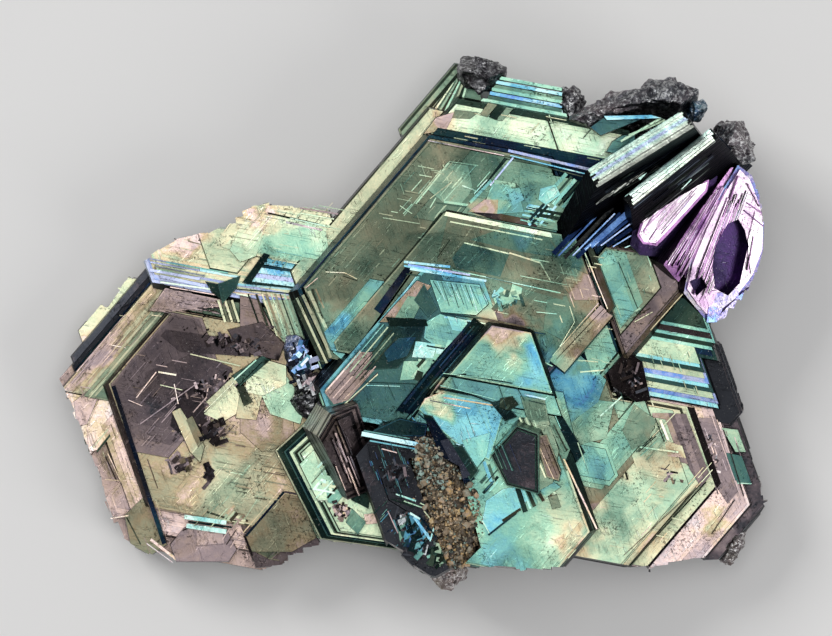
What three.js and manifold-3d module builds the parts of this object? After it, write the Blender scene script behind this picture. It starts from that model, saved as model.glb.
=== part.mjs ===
// A hand specimen of polybasite: a flat cluster of six-sided tabular crystals, intergrown in
// parallel and stepped like a stack of sheared cards, with dark broken lumps, two fans of
// steep blades at one corner, and a vein of brown-gold crust grown along one crystal's edge.
// Millimetres, +Z up. The cluster lies on its broken back, the crystal faces look up.

import * as THREE from 'three';
import { mergeVertices } from 'three/addons/utils/BufferGeometryUtils.js';
import Module from 'manifold-3d';

const wasm = await Module();
wasm.setup();

// ---------------------------------------------------------------- driving dimensions

const SPECIMEN_CENTRE = [0, -0.1];    // middle of the outline in the drawing grid used below
const TURN = 19.5;                    // azimuth of the first prism face, degrees
const SIXTH = 60;                     // the six prism faces follow one another at this angle
const BLANK = 60;                     // size of the block that a crystal is cleaved from
const OVERLAP = 0.1;                  // how far a growth layer reaches into the one under it
const SEAM = 0.3;                     // open seam between the crust and the crystals it fills

// The middles of the crystals that lie flat, as [x, y].
const MAIN = [2.1, 5.0];
const INNER = [-0.9, -1.0];
const FRONT = [5.1, -6.4];
const EAST = [13.5, 1.4];
const RIGHT = [14.7, -9.4];
const STAIRS = [15.6, -2.8];
const LEFT = [-13.5, -6.4];
const UPPER_LEFT = [-9.9, 3.8];
const NEST = [-5.7, -9.4];
const DARK = [-0.6, -9.6];

// ---------------------------------------------------------------- cutting tools

const radians = THREE.MathUtils.degToRad;

function compass(azimuth, rise = 0) {
  const flat = Math.cos(radians(rise));
  return new THREE.Vector3(
    flat * Math.cos(radians(azimuth)),
    flat * Math.sin(radians(azimuth)),
    Math.sin(radians(rise)),
  );
}

function solidOf(geometry) {
  const bare = geometry.index ? geometry.toNonIndexed() : geometry;
  bare.deleteAttribute('normal');
  bare.deleteAttribute('uv');
  const merged = mergeVertices(bare, 1e-4);
  return new wasm.Manifold(new wasm.Mesh({
    numProp: 3,
    vertProperties: new Float32Array(merged.attributes.position.array),
    triVerts: new Uint32Array(merged.index.array),
  }));
}

function cleave(solid, point, normal) {
  const inward = normal.clone().normalize().negate();
  return solid.trimByPlane(inward.toArray(), inward.dot(point));
}

// A tablet between two levels, cleaved by upright faces. Each face is an azimuth, the reach of
// its top edge from the middle, and how far it slopes outward on its way down.
function prism([x, y], faces, bottom, top) {
  const height = top - bottom;
  const block = new THREE.BoxGeometry(BLANK, BLANK, height);
  block.translate(x, y, (top + bottom) / 2);
  let solid = solidOf(block);
  for (const [azimuth, reach, slope] of faces) {
    const outward = compass(azimuth);
    const edge = new THREE.Vector3(x, y, top).addScaledVector(outward, reach);
    const normal = outward.clone().multiplyScalar(height);
    normal.z = slope;
    solid = cleave(solid, edge, normal);
  }
  return solid;
}

// A crystal's six reaches run anticlockwise from its right-hand face:
// right, back right, back left, left, front left, front right.
function tablet(middle, reaches, bottom, top, slope = 0.2) {
  const slopes = Array.isArray(slope) ? slope : reaches.map(() => slope);
  const faces = reaches.map((reach, side) => [TURN + side * SIXTH, reach, slopes[side]]);
  return prism(middle, faces, bottom, top);
}

// Growth layers up a crystal's side: the same outline at each level, each layer standing out or
// back a little from the one under it. Faces are given as for prism.
function layered(middle, faces, levels, stagger = 0.2) {
  return fuse(levels.slice(1).map((top, index) => {
    const moved = faces.map(([azimuth, reach, slope], side) => (
      [azimuth, reach - stagger * (1 + Math.sin(2.4 * index + 1.7 * side)) / 2, slope]));
    return prism(middle, moved, levels[index] - OVERLAP, top);
  }));
}

function hexagon(reaches, slope = 0.1) {
  return reaches.map((reach, side) => [TURN + side * SIXTH, reach, slope]);
}

function fuse(solids) {
  return solids.reduce((whole, solid) => whole.add(solid));
}

function seeded(seed) {
  let state = seed * 7919 + 17;
  return () => {
    state = (state * 16807) % 2147483647;
    return state / 2147483647;
  };
}

// A broken lump: a block of the given half sizes, knocked about by random flat breaks.
function lump([x, y, z], [dx, dy, dz], turn, seed, breaks = 13) {
  const random = seeded(seed);
  let solid = solidOf(new THREE.BoxGeometry(2, 2, 2));
  for (let count = 0; count < breaks; count += 1) {
    const azimuth = (count * 137.5 + random() * 50) % 360;
    const rise = -55 + 130 * ((count + random()) / breaks);
    const normal = compass(azimuth, rise);
    const reach = 0.86 + 0.26 * random();
    solid = cleave(solid, normal.clone().multiplyScalar(reach), normal);
  }
  const place = new THREE.Matrix4().makeTranslation(x, y, z)
    .multiply(new THREE.Matrix4().makeRotationZ(radians(turn)))
    .multiply(new THREE.Matrix4().makeScale(dx, dy, dz));
  return solid.transform(place.elements);
}

// A blade standing on edge: long along its azimuth, leaning over sideways. Its crest runs
// level through the given point, and each end is cut on the slant.
function blade({ crest, azimuth, lean, length, depth, thickness, startCut, endCut }) {
  const block = new THREE.BoxGeometry(length, thickness, depth);
  block.translate(0, 0, -depth / 2);
  let solid = solidOf(block);
  solid = cleave(solid, new THREE.Vector3(-length / 2 + startCut, 0, 0),
    new THREE.Vector3(-depth, 0, startCut));
  solid = cleave(solid, new THREE.Vector3(length / 2 - endCut, 0, 0),
    new THREE.Vector3(depth, 0, endCut));
  const place = new THREE.Matrix4().makeTranslation(...crest)
    .multiply(new THREE.Matrix4().makeRotationZ(radians(azimuth)))
    .multiply(new THREE.Matrix4().makeRotationX(radians(-lean)));
  return solid.transform(place.elements);
}

// A tablet that is tipped: faces are drawn flat around the middle, then the whole tablet is
// tipped by its dip down toward an azimuth.
function dipped([x, y, z], faces, thickness, dip, toward) {
  const flat = prism([0, 0], faces, -thickness, 0);
  const place = new THREE.Matrix4().makeTranslation(x, y, z)
    .multiply(new THREE.Matrix4().makeRotationZ(radians(toward)))
    .multiply(new THREE.Matrix4().makeRotationY(radians(dip)))
    .multiply(new THREE.Matrix4().makeRotationZ(radians(-toward)));
  return flat.transform(place.elements);
}

function meshOf(solid, name, material) {
  const { vertProperties, triVerts } = solid.getMesh();
  const geometry = new THREE.BufferGeometry();
  geometry.setAttribute('position', new THREE.BufferAttribute(vertProperties, 3));
  geometry.setIndex(new THREE.BufferAttribute(triVerts, 1));
  geometry.computeVertexNormals();
  const mesh = new THREE.Mesh(geometry, material);
  mesh.name = name;
  return mesh;
}

// ---------------------------------------------------------------- the main crystal

function mainCrystal() {
  return fuse([
    tablet(MAIN, [8.4, 7.4, 3.6, 7.4, 7.0, 9.4], 0, 2.4, -0.6),
    tablet(MAIN, [9.2, 8.4, 5.0, 9.0, 8.4, 10.6], 0.9, 3.4, -0.3),
    tablet(MAIN, [4.7, 10.5, 6.7, 0.7, -5.6, 12.0], 1.4, 4.8),
    tablet(MAIN, [9.1, 8.7, 4.0, 6.0, 0.0, 6.0], 1.6, 6.0, [0.4, 1.6, 0.3, 0.3, 0.3, 0.3]),
    tablet(MAIN, [9.0, 7.5, 6.1, 9.7, 9.0, 11.4], 2.0, 5.8),
    tablet(MAIN, [12.3, 8.4, 5.1, 9.9, 9.0, 12.0], 2.6, 6.6, 0.35),
    tablet(MAIN, [7.2, 5.7, 4.8, 9.2, 8.3, 9.4], 4.8, 8.0, 0.5),
    tablet(MAIN, [7.1, 5.3, 0.5, 3.6, -1.7, 8.4], 7.7, 8.3, 0.15),
    tablet(MAIN, [7.1, 1.5, 1.3, 8.6, 7.8, 9.3], 7.7, 8.5, 0.25),
  ]);
}

// ---------------------------------------------------------------- crystals on its front slope

// The solid middle that the front crystals grow out of, hidden behind their layered sides.
function heart() {
  return tablet([3.4, -7.2], [9.8, 7.0, 5.5, 7.4, 6.0, 6.8], 1.3, 6.0, 0);
}

function innerCrystal() {
  return fuse([
    layered(INNER, hexagon([5.8, 3.8, 1.6, 5.9, 5.1, 8.6]), [0.9, 2.2, 3.3, 4.9, 6.3]),
    tablet(INNER, [5.9, 4.4, 1.7, 5.5, 5.2, 9.0], 6.0, 8.7, 0.5),
    tablet(INNER, [3.6, 4.3, 1.6, 5.2, 4.9, 4.5], 8.5, 9.1, 0.15),
  ]);
}

function frontCrystal() {
  const brokenFront = new THREE.Vector3(0, -14.7, 0);
  const crystal = fuse([
    layered(FRONT, hexagon([7.4, 4.6, 4.2, 6.9, 8.0, 7.4]), [0.6, 1.9, 2.9, 4.3, 5.3, 6.6], 0.4),
    layered(FRONT, hexagon([3.2, 4.8, 4.8, 7.6, 8.3, 8.1], 0.15), [6.5, 7.5, 8.8], 0.3),
    tablet(FRONT, [3.0, 4.8, 4.4, 7.4, 8.2, 8.0], 8.5, 9.6, 0.25),
    tablet(FRONT, [3.7, 6.0, 4.4, 6.3, -1.5, 4.8], 9.0, 10.0),
    tablet(FRONT, [3.6, 6.0, 4.4, 6.7, -2.7, 4.8], 9.8, 10.3, 0.1),
  ]);
  return cleave(crystal, brokenFront, compass(271, 2));
}

function eastCrystal() {
  return fuse([
    tablet(EAST, [2.8, 2.9, 3.6, 2.1, 3.6, 1.7], 2.0, 7.3, 0.3),
    tablet(EAST, [1.4, 2.7, 3.6, 0.7, 2.7, 0.6], 7.1, 7.6, 0.1),
    tablet(EAST, [-2.1, 3.6, 3.6, 4.5, 5.4, 1.3], 2.0, 6.7),
  ]);
}

// ---------------------------------------------------------------- the right-hand crystal

function rightCrystal() {
  const brokenFront = new THREE.Vector3(0, -14.8, 0);
  const brokenCorner = new THREE.Vector3(19.2, -14.1, 0);
  let crystal = fuse([
    tablet(RIGHT, [4.4, 5.8, 5.2, 5.6, 4.0, 4.4], 0, 2.0, -0.5),
    tablet(RIGHT, [5.8, 9.0, 9.0, 9.0, 5.4, 6.0], 0.8, 3.8, 0.3),
    tablet(RIGHT, [4.6, 4.8, 9.0, 9.0, 5.4, 5.1], 3.4, 4.8),
    tablet(RIGHT, [3.0, 4.6, 9.0, 9.0, 5.3, 2.8], 4.4, 5.3),
    tablet(RIGHT, [2.5, 4.3, 9.0, 9.0, 5.4, 1.9], 5.0, 5.9),
    tablet(RIGHT, [1.5, 3.6, 9.0, 9.0, 5.4, 1.8], 5.7, 6.2, 0.1),
  ]);
  crystal = cleave(crystal, brokenFront, compass(269, -3));
  return cleave(crystal, brokenCorner, compass(292, 6)).add(fuse([
    tablet(RIGHT, [0.7, 4.8, 4.2, 5.4, 1.2, -2.3], 6.0, 6.7, 0.1),
    tablet(RIGHT, [-2.3, 1.5, 5.4, 5.4, 0.9, -2.1], 6.0, 6.8, 0.1),
  ]));
}

// Steps that climb away from the viewer's side, each a narrow tread on the right crystal.
function stairCrystal() {
  const treads = [
    { right: 1.7, left: 2.9, front: 1.8, top: 5.5 },
    { right: 1.3, left: 2.6, front: 0.7, top: 6.0 },
    { right: 0.1, left: 2.9, front: -0.4, top: 6.5 },
    { right: 2.6, left: 3.6, front: -1.0, top: 6.3 },
    { right: 2.8, left: 3.6, front: -2.0, top: 6.8 },
    { right: 2.7, left: 3.6, front: -2.7, top: 7.1 },
  ];
  return fuse([
    tablet(STAIRS, [3.2, 5.4, 4.8, 4.8, 2.7, 4.8], 1.2, 5.0, 0.3),
    ...treads.map(({ right, left, front, top }) => (
      tablet(STAIRS, [right, 4.3, 4.8, left, front, 4.8], top - 1.1, top, 0.25))),
  ]);
}

// ---------------------------------------------------------------- the left-hand crystals

function leftCrystal() {
  const brokenCorner = new THREE.Vector3(...LEFT, 0).addScaledVector(compass(229.5), 7.1);
  const crystal = fuse([
    tablet(LEFT, [7.6, 6.2, 6.2, 4.6, 5.8, 7.4], 0, 1.6, -0.5),
    tablet(LEFT, [9.0, 8.1, 8.0, 6.5, 7.7, 9.5], 0.8, 2.4),
    tablet(LEFT, [9.0, 9.0, 8.3, 5.3, -0.6, 9.0], 1.6, 3.0),
    tablet(LEFT, [9.0, 8.3, 9.0, 4.4, -3.0, 9.0], 1.3, 2.5, 0.1),
    tablet(LEFT, [8.4, 8.7, 7.5, 6.4, -0.9, 9.0], 2.2, 3.7),
    tablet(LEFT, [8.4, 8.7, 6.2, 6.0, -0.8, 9.0], 3.5, 4.0, 0.1),
    tablet(LEFT, [9.0, 0.9, 9.0, 6.6, 6.0, -3.6], 2.0, 3.3, 0.1),
    tablet(LEFT, [9.0, 0.0, 1.2, 6.2, 6.0, 3.6], 2.0, 3.0, 0.1),
    tablet(LEFT, [9.0, 3.6, 4.2, 5.0, 6.5, 9.0], 2.0, 3.7),
    tablet(LEFT, [9.0, 6.8, 5.5, 3.7, 5.0, 9.0], 2.6, 4.8, 0.3),
    tablet(LEFT, [9.0, -2.8, -5.9, -1.0, 7.0, 9.0], 3.5, 4.4, 0.2),
    tablet(LEFT, [2.9, 6.7, 5.4, 3.6, 0.3, -0.3], 4.6, 5.1, 0.1),
  ]);
  return cleave(crystal, brokenCorner, compass(229.5, -10));
}

function upperLeftCrystal() {
  const brokenBack = new THREE.Vector3(-13.6, 5.3, 0);
  const westHalf = fuse([
    tablet(UPPER_LEFT, [4.8, 0.4, 4.2, 4.6, 4.2, 4.8], 0.6, 2.6, 0.2),
    tablet(UPPER_LEFT, [4.2, 0.6, 4.8, 6.0, 2.4, 5.4], 1.8, 4.6, 0.2),
    tablet(UPPER_LEFT, [4.2, 1.0, 4.4, 3.7, 1.9, 5.4], 4.4, 5.0),
    tablet(UPPER_LEFT, [4.2, 1.4, 4.0, 2.9, 1.4, 5.4], 4.8, 5.3),
    tablet(UPPER_LEFT, [5.4, 1.5, 3.6, 2.4, 0.9, -0.1], 4.8, 5.7),
    tablet(UPPER_LEFT, [5.4, 1.0, 3.6, 3.6, 1.7, 5.4], 2.5, 5.0, 0.3),
  ]);
  return cleave(westHalf, brokenBack, compass(118, -4)).add(fuse([
    tablet(UPPER_LEFT, [4.8, 3.2, 1.8, 1.8, 4.2, 4.8], 0.8, 2.8, 0.3),
    tablet(UPPER_LEFT, [5.4, 3.7, 2.3, 2.4, -0.3, 5.4], 2.0, 5.7),
  ]));
}

// A nest of hexagons between the left crystal and the dark ones, turned a little out of line.
function nestCrystal() {
  const outline = (left, backLeft, front) => [
    [27, 2.6, 0.2], [80, 3.4, 0.2], [133, backLeft, 0.3], [207, left, 0.3], [262, front, 0.2],
  ];
  return fuse([
    layered(NEST, outline(1.6, 3.1, 3.5), [0.7, 2.0, 3.1, 4.4, 5.5, 6.4], 0.3),
    prism(NEST, outline(0.9, 2.5, 3.2), 6.2, 6.9),
    prism(NEST, outline(0.4, 2.0, 2.9), 6.7, 7.4),
  ]);
}

// ---------------------------------------------------------------- the dark tipped crystals

function darkCrystals() {
  const purple = [[19.5, 1.6, 0.1], [110, 2.4, 0.1], [150, 1.9, 0.2], [207, 1.1, 0.2], [290, 3.0, 0.1]];
  const slate = [[0, 1.5, 0.1], [70, 1.7, 0.1], [139.5, 1.0, 0.2], [207, 1.3, 0.2], [255, 2.0, 0.1]];
  return fuse([
    layered(DARK, [[20, 2.9, 0.1], [79.5, 3.4, 0.1], [139.5, 3.4, 0.1], [199.5, 2.4, 0.1],
      [226, 3.4, 0.1], [259.5, 5.4, 0.1], [300, 6.0, 0.1]], [1.1, 2.6, 3.8, 5.6, 6.9, 8.2, 9.4], 0.4),
    prism(DARK, [[20, 2.4, 0.3], [79.5, 3.0, 0.2], [139.5, 2.6, 0.2], [199.5, 1.2, 0.3],
      [238, 2.0, 0.3], [259.5, 3.4, 0.3]], 9.2, 10.5),
    dipped([-4.2, -7.6, 9.4], purple, 2.6, 24, 325),
    dipped([5.9, -7.8, 11.0], slate, 1.2, 14, 250),
    cleave(tablet(NEST, [7.0, 0.2, 5.0, 3.0, 3.9, 9.0], 1.2, 4.4, 0.3),
      new THREE.Vector3(0, -13.4, 3.0), compass(271, 5)),
  ]);
}

// ---------------------------------------------------------------- steep blades at the far corner

function steelBlades() {
  return fuse([
    blade({ crest: [11.8, 9.4, 12.0], azimuth: 32, lean: 27, length: 11.2, depth: 4.9,
      thickness: 1.3, startCut: 4.5, endCut: 0.3 }),
    blade({ crest: [13.9, 8.2, 10.9], azimuth: 38.5, lean: 30, length: 10.5, depth: 4.2,
      thickness: 0.7, startCut: 4.2, endCut: 0.2 }),
    blade({ crest: [15.8, 8.5, 9.9], azimuth: 44, lean: 34, length: 7.4, depth: 4.0,
      thickness: 0.8, startCut: 1.8, endCut: 0.3 }),
  ]);
}

function violetBlades() {
  const lens = [[332, 1.0, 0.2], [28, 2.6, 0.3], [62, 2.7, 0.2], [152, 0.9, 0.2], [226, 2.5, 0.2],
    [260, 1.9, 0.2]];
  const broad = [[340, 2.5, 0.2], [12, 2.6, 0.3], [48, 4.2, 0.2], [82, 4.5, 0.3], [156, 2.2, 0.2],
    [244, 4.2, 0.2], [294, 4.0, 0.3]];
  return fuse([
    dipped([14.9, 6.6, 9.4], lens, 1.6, 26, 322),
    dipped([16.4, 6.2, 9.2], lens, 2.4, 48, 333),
    dipped([17.4, 5.4, 8.6], lens, 3.2, 44, 336),
    dipped([18.8, 4.7, 7.6], broad, 2.4, 32, 336),
  ]);
}

// ---------------------------------------------------------------- dark broken lumps

function brokenLumps() {
  return fuse([
    lump([4.0, 14.9, 5.4], [1.5, 1.0, 2.2], -10, 3),
    lump([9.2, 13.0, 4.6], [0.9, 1.0, 1.6], -20, 4),
    lump([13.2, 12.9, 6.8], [3.9, 1.1, 3.0], 4, 5),
    lump([16.2, 12.6, 7.4], [1.6, 1.3, 2.6], -30, 6),
    lump([19.0, 10.6, 6.4], [1.1, 1.4, 2.4], 15, 7),
    lump([12.6, 8.6, 3.4], [4.4, 3.4, 2.9], 30, 8, 11),
    lump([16.6, 6.4, 4.2], [3.4, 4.2, 3.4], 20, 9, 11),
    lump([-6.9, -2.3, 5.2], [1.0, 1.8, 2.3], 8, 10),
    lump([-6.3, -4.8, 4.9], [1.3, 1.2, 2.2], -15, 11),
    lump([12.5, -3.5, 5.8], [1.0, 1.5, 2.0], 18, 12),
    lump([18.6, -12.9, 2.4], [1.3, 1.3, 1.4], 25, 13),
    lump([2.0, -15.0, 3.6], [1.0, 0.9, 2.2], 40, 14),
    lump([-4.4, -11.2, 5.9], [1.2, 0.7, 1.6], -6, 15),
  ]);
}

// ---------------------------------------------------------------- the crust and its seat

const CRUST_BOTTOM = 5.4;
const CRUST_TOP = 11.6;
const CRUST_MIDDLE = [1.9, -11.2];
const GRAINS = 24;

function crustOutline(grow) {
  return [[15, 1.3], [62, 2.6], [110, 3.6], [200, 1.0], [255, 3.2], [315, 2.9]]
    .map(([azimuth, reach]) => [azimuth, reach + grow, 0]);
}

function crustSeat() {
  return prism(CRUST_MIDDLE, crustOutline(SEAM), CRUST_BOTTOM - SEAM, CRUST_TOP + 2);
}

function brownCrust() {
  const random = seeded(41);
  const grains = [];
  for (let count = 0; count < GRAINS; count += 1) {
    const along = (count + random()) / GRAINS;
    const x = THREE.MathUtils.lerp(0.5, 2.4, along) + (random() - 0.5) * 2.4;
    const y = THREE.MathUtils.lerp(-8.2, -14.0, along) + (random() - 0.5) * 0.8;
    const size = 0.45 + 0.35 * random();
    const top = 9.9 - 2.2 * along + random() * 0.6;
    grains.push(lump([x, y, top - size], [size, size * 0.8, size * 1.4], random() * 90, 60 + count, 6));
  }
  const bed = fuse([
    prism(CRUST_MIDDLE, crustOutline(0), CRUST_BOTTOM, 7.6),
    prism(CRUST_MIDDLE, [[15, 0.9, 0.6], [62, 2.4, 0.4], [110, 3.2, 0.4], [200, 0.7, 0.6],
      [255, 0.4, 1.2], [315, 1.9, 0.8]], 7.4, 9.3),
  ]);
  return fuse([bed, ...grains])
    .intersect(prism(CRUST_MIDDLE, crustOutline(0), CRUST_BOTTOM, CRUST_TOP));
}

// ---------------------------------------------------------------- the specimen

const silverGreen = new THREE.MeshStandardMaterial({ color: 0x5f8d80, roughness: 0.3, metalness: 0.9 });
const brownGold = new THREE.MeshStandardMaterial({ color: 0x8a6a45, roughness: 0.75, metalness: 0.1 });

const crystals = fuse([
  mainCrystal(), heart(), innerCrystal(), frontCrystal(), eastCrystal(), rightCrystal(), stairCrystal(),
  leftCrystal(), upperLeftCrystal(), nestCrystal(), darkCrystals(), steelBlades(),
  violetBlades(), brokenLumps(),
]).subtract(crustSeat());

const specimen = new THREE.Group();
specimen.add(meshOf(crystals, 'crystal_cluster', silverGreen));
specimen.add(meshOf(brownCrust(), 'brown_crust', brownGold));
specimen.position.set(-SPECIMEN_CENTRE[0], -SPECIMEN_CENTRE[1], 0);

export default specimen;
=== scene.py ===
import random
from math import atan2, cos, hypot, radians, sin

import bpy
from mathutils import Matrix, Vector


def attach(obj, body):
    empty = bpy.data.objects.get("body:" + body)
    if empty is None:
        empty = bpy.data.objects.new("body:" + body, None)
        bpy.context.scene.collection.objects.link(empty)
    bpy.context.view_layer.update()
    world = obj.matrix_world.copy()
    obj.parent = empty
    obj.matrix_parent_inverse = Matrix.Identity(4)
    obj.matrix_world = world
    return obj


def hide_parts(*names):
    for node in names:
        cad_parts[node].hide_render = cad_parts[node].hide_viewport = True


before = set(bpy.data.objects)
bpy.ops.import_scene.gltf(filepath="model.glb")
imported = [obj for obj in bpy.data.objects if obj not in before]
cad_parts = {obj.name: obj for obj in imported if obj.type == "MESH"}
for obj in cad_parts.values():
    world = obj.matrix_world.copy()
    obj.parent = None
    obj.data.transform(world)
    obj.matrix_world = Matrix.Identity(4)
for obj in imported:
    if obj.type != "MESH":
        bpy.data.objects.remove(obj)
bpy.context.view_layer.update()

# ---------------------------------------------------------------- camera, light and floor
# The specimen lies on its back on a plain pale table and is looked at from straight above
# through a long lens, under a wide soft light.

MM = 0.001
VIEW_MIDDLE = Vector((0.06, 0.4, 6.0)) * MM
VIEW_WIDTH = 49.92 * MM
CAMERA_HEIGHT = 0.8
SENSOR = 36.0

bpy.ops.object.select_all(action="DESELECT")
bpy.ops.object.camera_add(location=VIEW_MIDDLE + Vector((0, 0, CAMERA_HEIGHT)), rotation=(0, 0, 0))
camera = bpy.context.object
camera.data.sensor_width = SENSOR
camera.data.lens = SENSOR * CAMERA_HEIGHT / VIEW_WIDTH
camera.data.clip_start = 0.01
camera.data.clip_end = 20.0
bpy.context.scene.camera = camera
bpy.context.scene.view_settings.view_transform = "Standard"


def soft_light(name, place, aim, size, power):
    direction = Vector(aim) - Vector(place)
    turn = direction.to_track_quat("-Z", "Y").to_euler()
    bpy.ops.object.light_add(type="AREA", location=place, rotation=turn)
    light = bpy.context.object
    light.name = name
    light.data.shape = "SQUARE"
    light.data.size = size
    light.data.energy = power
    light.visible_camera = False


soft_light("overhead_light", (0.03, 0.04, 0.45), (0, 0, 0), 0.30, 0.50)
soft_light("key_light", (-0.35, 0.3, 0.4), (0, 0, 0), 0.22, 1.5)
soft_light("fill_light", (0.4, -0.25, 0.3), (0, 0, 0), 0.22, 0.68)

world = bpy.data.worlds.new("studio")
world.use_nodes = True
world.node_tree.nodes["Background"].inputs["Color"].default_value = (0.92, 0.94, 1.0, 1)
world.node_tree.nodes["Background"].inputs["Strength"].default_value = 0.31
bpy.context.scene.world = world

bpy.ops.mesh.primitive_plane_add(size=6)
floor = bpy.context.object
floor.name = "floor"
floor_paint = bpy.data.materials.new("floor_paint")
floor_paint.use_nodes = True
paint = floor_paint.node_tree.nodes["Principled BSDF"]
paint.inputs["Base Color"].default_value = (0.80, 0.79, 0.77, 1)
paint.inputs["Roughness"].default_value = 0.8
floor.data.materials.append(floor_paint)

# ---------------------------------------------------------------- the main crystal
# The largest tablet, in the middle of the cluster: a green and teal face with long steps down
# its back left side, a mint ledge behind it and a turquoise striated face below that. It is
# polybasite, grown as a pile of six-sided layers, each with its own film of tarnish.

TURN = 19.5
# Edges and growth lines run these three ways, in degrees from the right.
RISING, STEEP, FALLING = 48.5, 109.5, -10.5
ALL_WAYS = (RISING, STEEP, FALLING, 20, 75)
SQUARE = 0.06
GRID_MIDDLE = (415, 323)
GRID_SHIFT = 0.1
# The film's colour runs with its thickness from blue through green, yellow and pink to violet.
FILM_COLOURS = [
    (0.00, (0.400, 0.440, 0.620)),
    (0.06, (0.120, 0.230, 0.560)),
    (0.13, (0.090, 0.330, 0.500)),
    (0.21, (0.180, 0.460, 0.510)),
    (0.30, (0.190, 0.450, 0.390)),
    (0.39, (0.270, 0.510, 0.370)),
    (0.48, (0.390, 0.570, 0.400)),
    (0.56, (0.520, 0.600, 0.400)),
    (0.63, (0.640, 0.620, 0.410)),
    (0.70, (0.570, 0.450, 0.270)),
    (0.77, (0.740, 0.550, 0.480)),
    (0.85, (0.460, 0.360, 0.365)),
    (0.93, (0.270, 0.215, 0.235)),
    (1.00, (0.080, 0.086, 0.102)),
]


def at(column, row):
    """a place in mm, counted over and down a grid of small squares laid on the specimen"""
    return ((column - GRID_MIDDLE[0]) * SQUARE, (GRID_MIDDLE[1] - row) * SQUARE + GRID_SHIFT)


def pairs(numbers):
    """the corners in a flat row of numbers: over, down, over, down"""
    return list(zip(numbers[::2], numbers[1::2]))


def new_group(name, inputs, outputs):
    group = bpy.data.node_groups.new(name, "ShaderNodeTree")
    for label, kind in inputs:
        group.interface.new_socket(label, in_out="INPUT", socket_type="NodeSocket" + kind)
    for label, kind in outputs:
        group.interface.new_socket(label, in_out="OUTPUT", socket_type="NodeSocket" + kind)
    entry = group.nodes.new("NodeGroupInput")
    leave = group.nodes.new("NodeGroupOutput")
    return group, entry.outputs, leave.inputs


def feed(tree, socket, value):
    if isinstance(value, bpy.types.NodeSocket):
        tree.links.new(value, socket)
    elif value is not None:
        socket.default_value = value


def maths(tree, operation, first, second=None, third=None):
    node = tree.nodes.new("ShaderNodeMath")
    node.operation = operation
    for socket, value in zip(node.inputs, (first, second, third)):
        feed(tree, socket, value)
    return node.outputs[0]


def vector_maths(tree, operation, first, second=None, scale=None):
    node = tree.nodes.new("ShaderNodeVectorMath")
    node.operation = operation
    feed(tree, node.inputs[0], first)
    feed(tree, node.inputs[1], second)
    if scale is not None:
        feed(tree, node.inputs["Scale"], scale)
    return node.outputs["Value" if operation in ("LENGTH", "DISTANCE", "DOT_PRODUCT") else "Vector"]


def noise(tree, vector, scale, detail=2.0, rough=0.5):
    node = tree.nodes.new("ShaderNodeTexNoise")
    feed(tree, node.inputs["Vector"], vector)
    feed(tree, node.inputs["Scale"], scale)
    node.inputs["Detail"].default_value = detail
    node.inputs["Roughness"].default_value = rough
    return node.outputs["Fac"]


def fit(tree, value, low, high, to_low=0.0, to_high=1.0):
    node = tree.nodes.new("ShaderNodeMapRange")
    node.interpolation_type = "SMOOTHSTEP"
    for socket, number in zip(node.inputs, (value, low, high, to_low, to_high)):
        feed(tree, socket, number)
    return node.outputs[0]


def mixed(tree, share, first, second):
    node = tree.nodes.new("ShaderNodeMix")
    node.data_type = "RGBA"
    feed(tree, node.inputs["Factor"], share)
    feed(tree, node.inputs["A"], first)
    feed(tree, node.inputs["B"], second)
    return node.outputs["Result"]


def dyed(tree, value, stops):
    node = tree.nodes.new("ShaderNodeValToRGB")
    feed(tree, node.inputs["Fac"], value)
    ramp = node.color_ramp
    while len(ramp.elements) < len(stops):
        ramp.elements.new(0.5)
    for element, (place, colour) in zip(ramp.elements, stops):
        element.position = place
        element.color = (*colour, 1)
    return node.outputs["Color"]


def make_growth_lines():
    """flat steps, fine striations that carry a painted highlight, and fine furrow lines that carry
    painted shade, along one direction of the crystal
    """
    group, given, result = new_group(
        "growth lines", [("Position", "Vector"), ("Azimuth", "Float"), ("Spacing", "Float")],
        [("Steps", "Float"), ("Lines", "Float"), ("Groove Shade", "Float")])
    turned = group.nodes.new("ShaderNodeVectorRotate")
    turned.rotation_type = "Z_AXIS"
    feed(group, turned.inputs["Vector"], given["Position"])
    feed(group, turned.inputs["Angle"], given["Azimuth"])
    band_stretch, line_stretch = (1.0, 0.045, 0.3), (9.0, 0.75, 1.0)
    drawn = vector_maths(group, "MULTIPLY", turned.outputs[0], band_stretch)
    closer = vector_maths(group, "DIVIDE", drawn, given["Spacing"])
    band = noise(group, closer, 0.35, 1.0)
    levels = 16.0
    level = maths(group, "FLOOR", maths(group, "MULTIPLY", band, levels))
    steps = maths(group, "DIVIDE", level, levels)
    fine = noise(group, vector_maths(group, "MULTIPLY", turned.outputs[0], line_stretch), 1.0, 1.0)
    feed(group, result["Steps"], steps)
    feed(group, result["Lines"], fit(group, fine, 0.66, 0.74))
    feed(group, result["Groove Shade"], fit(group, fine, 0.36, 0.29))
    return group


def make_bloom():
    """a patch where the film is thicker or thinner and the painted brightness higher or lower, as
    painted highlight and painted shade
    """
    group, given, result = new_group(
        "tarnish and light bloom",
        [("Position", "Vector"), ("Film", "Float"), ("Glow", "Float"), ("Centre", "Vector"),
         ("Radius", "Float"), ("Film Shift", "Float"), ("Glow Shift", "Float")],
        [("Film", "Float"), ("Glow", "Float")])
    away = vector_maths(group, "DISTANCE", given["Position"], given["Centre"])
    near = fit(group, maths(group, "DIVIDE", away, given["Radius"]), 1.0, 0.2)
    feed(group, result["Film"],
         maths(group, "MULTIPLY_ADD", near, given["Film Shift"], given["Film"]))
    feed(group, result["Glow"],
         maths(group, "MULTIPLY_ADD", near, given["Glow Shift"], given["Glow"]))
    return group


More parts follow.
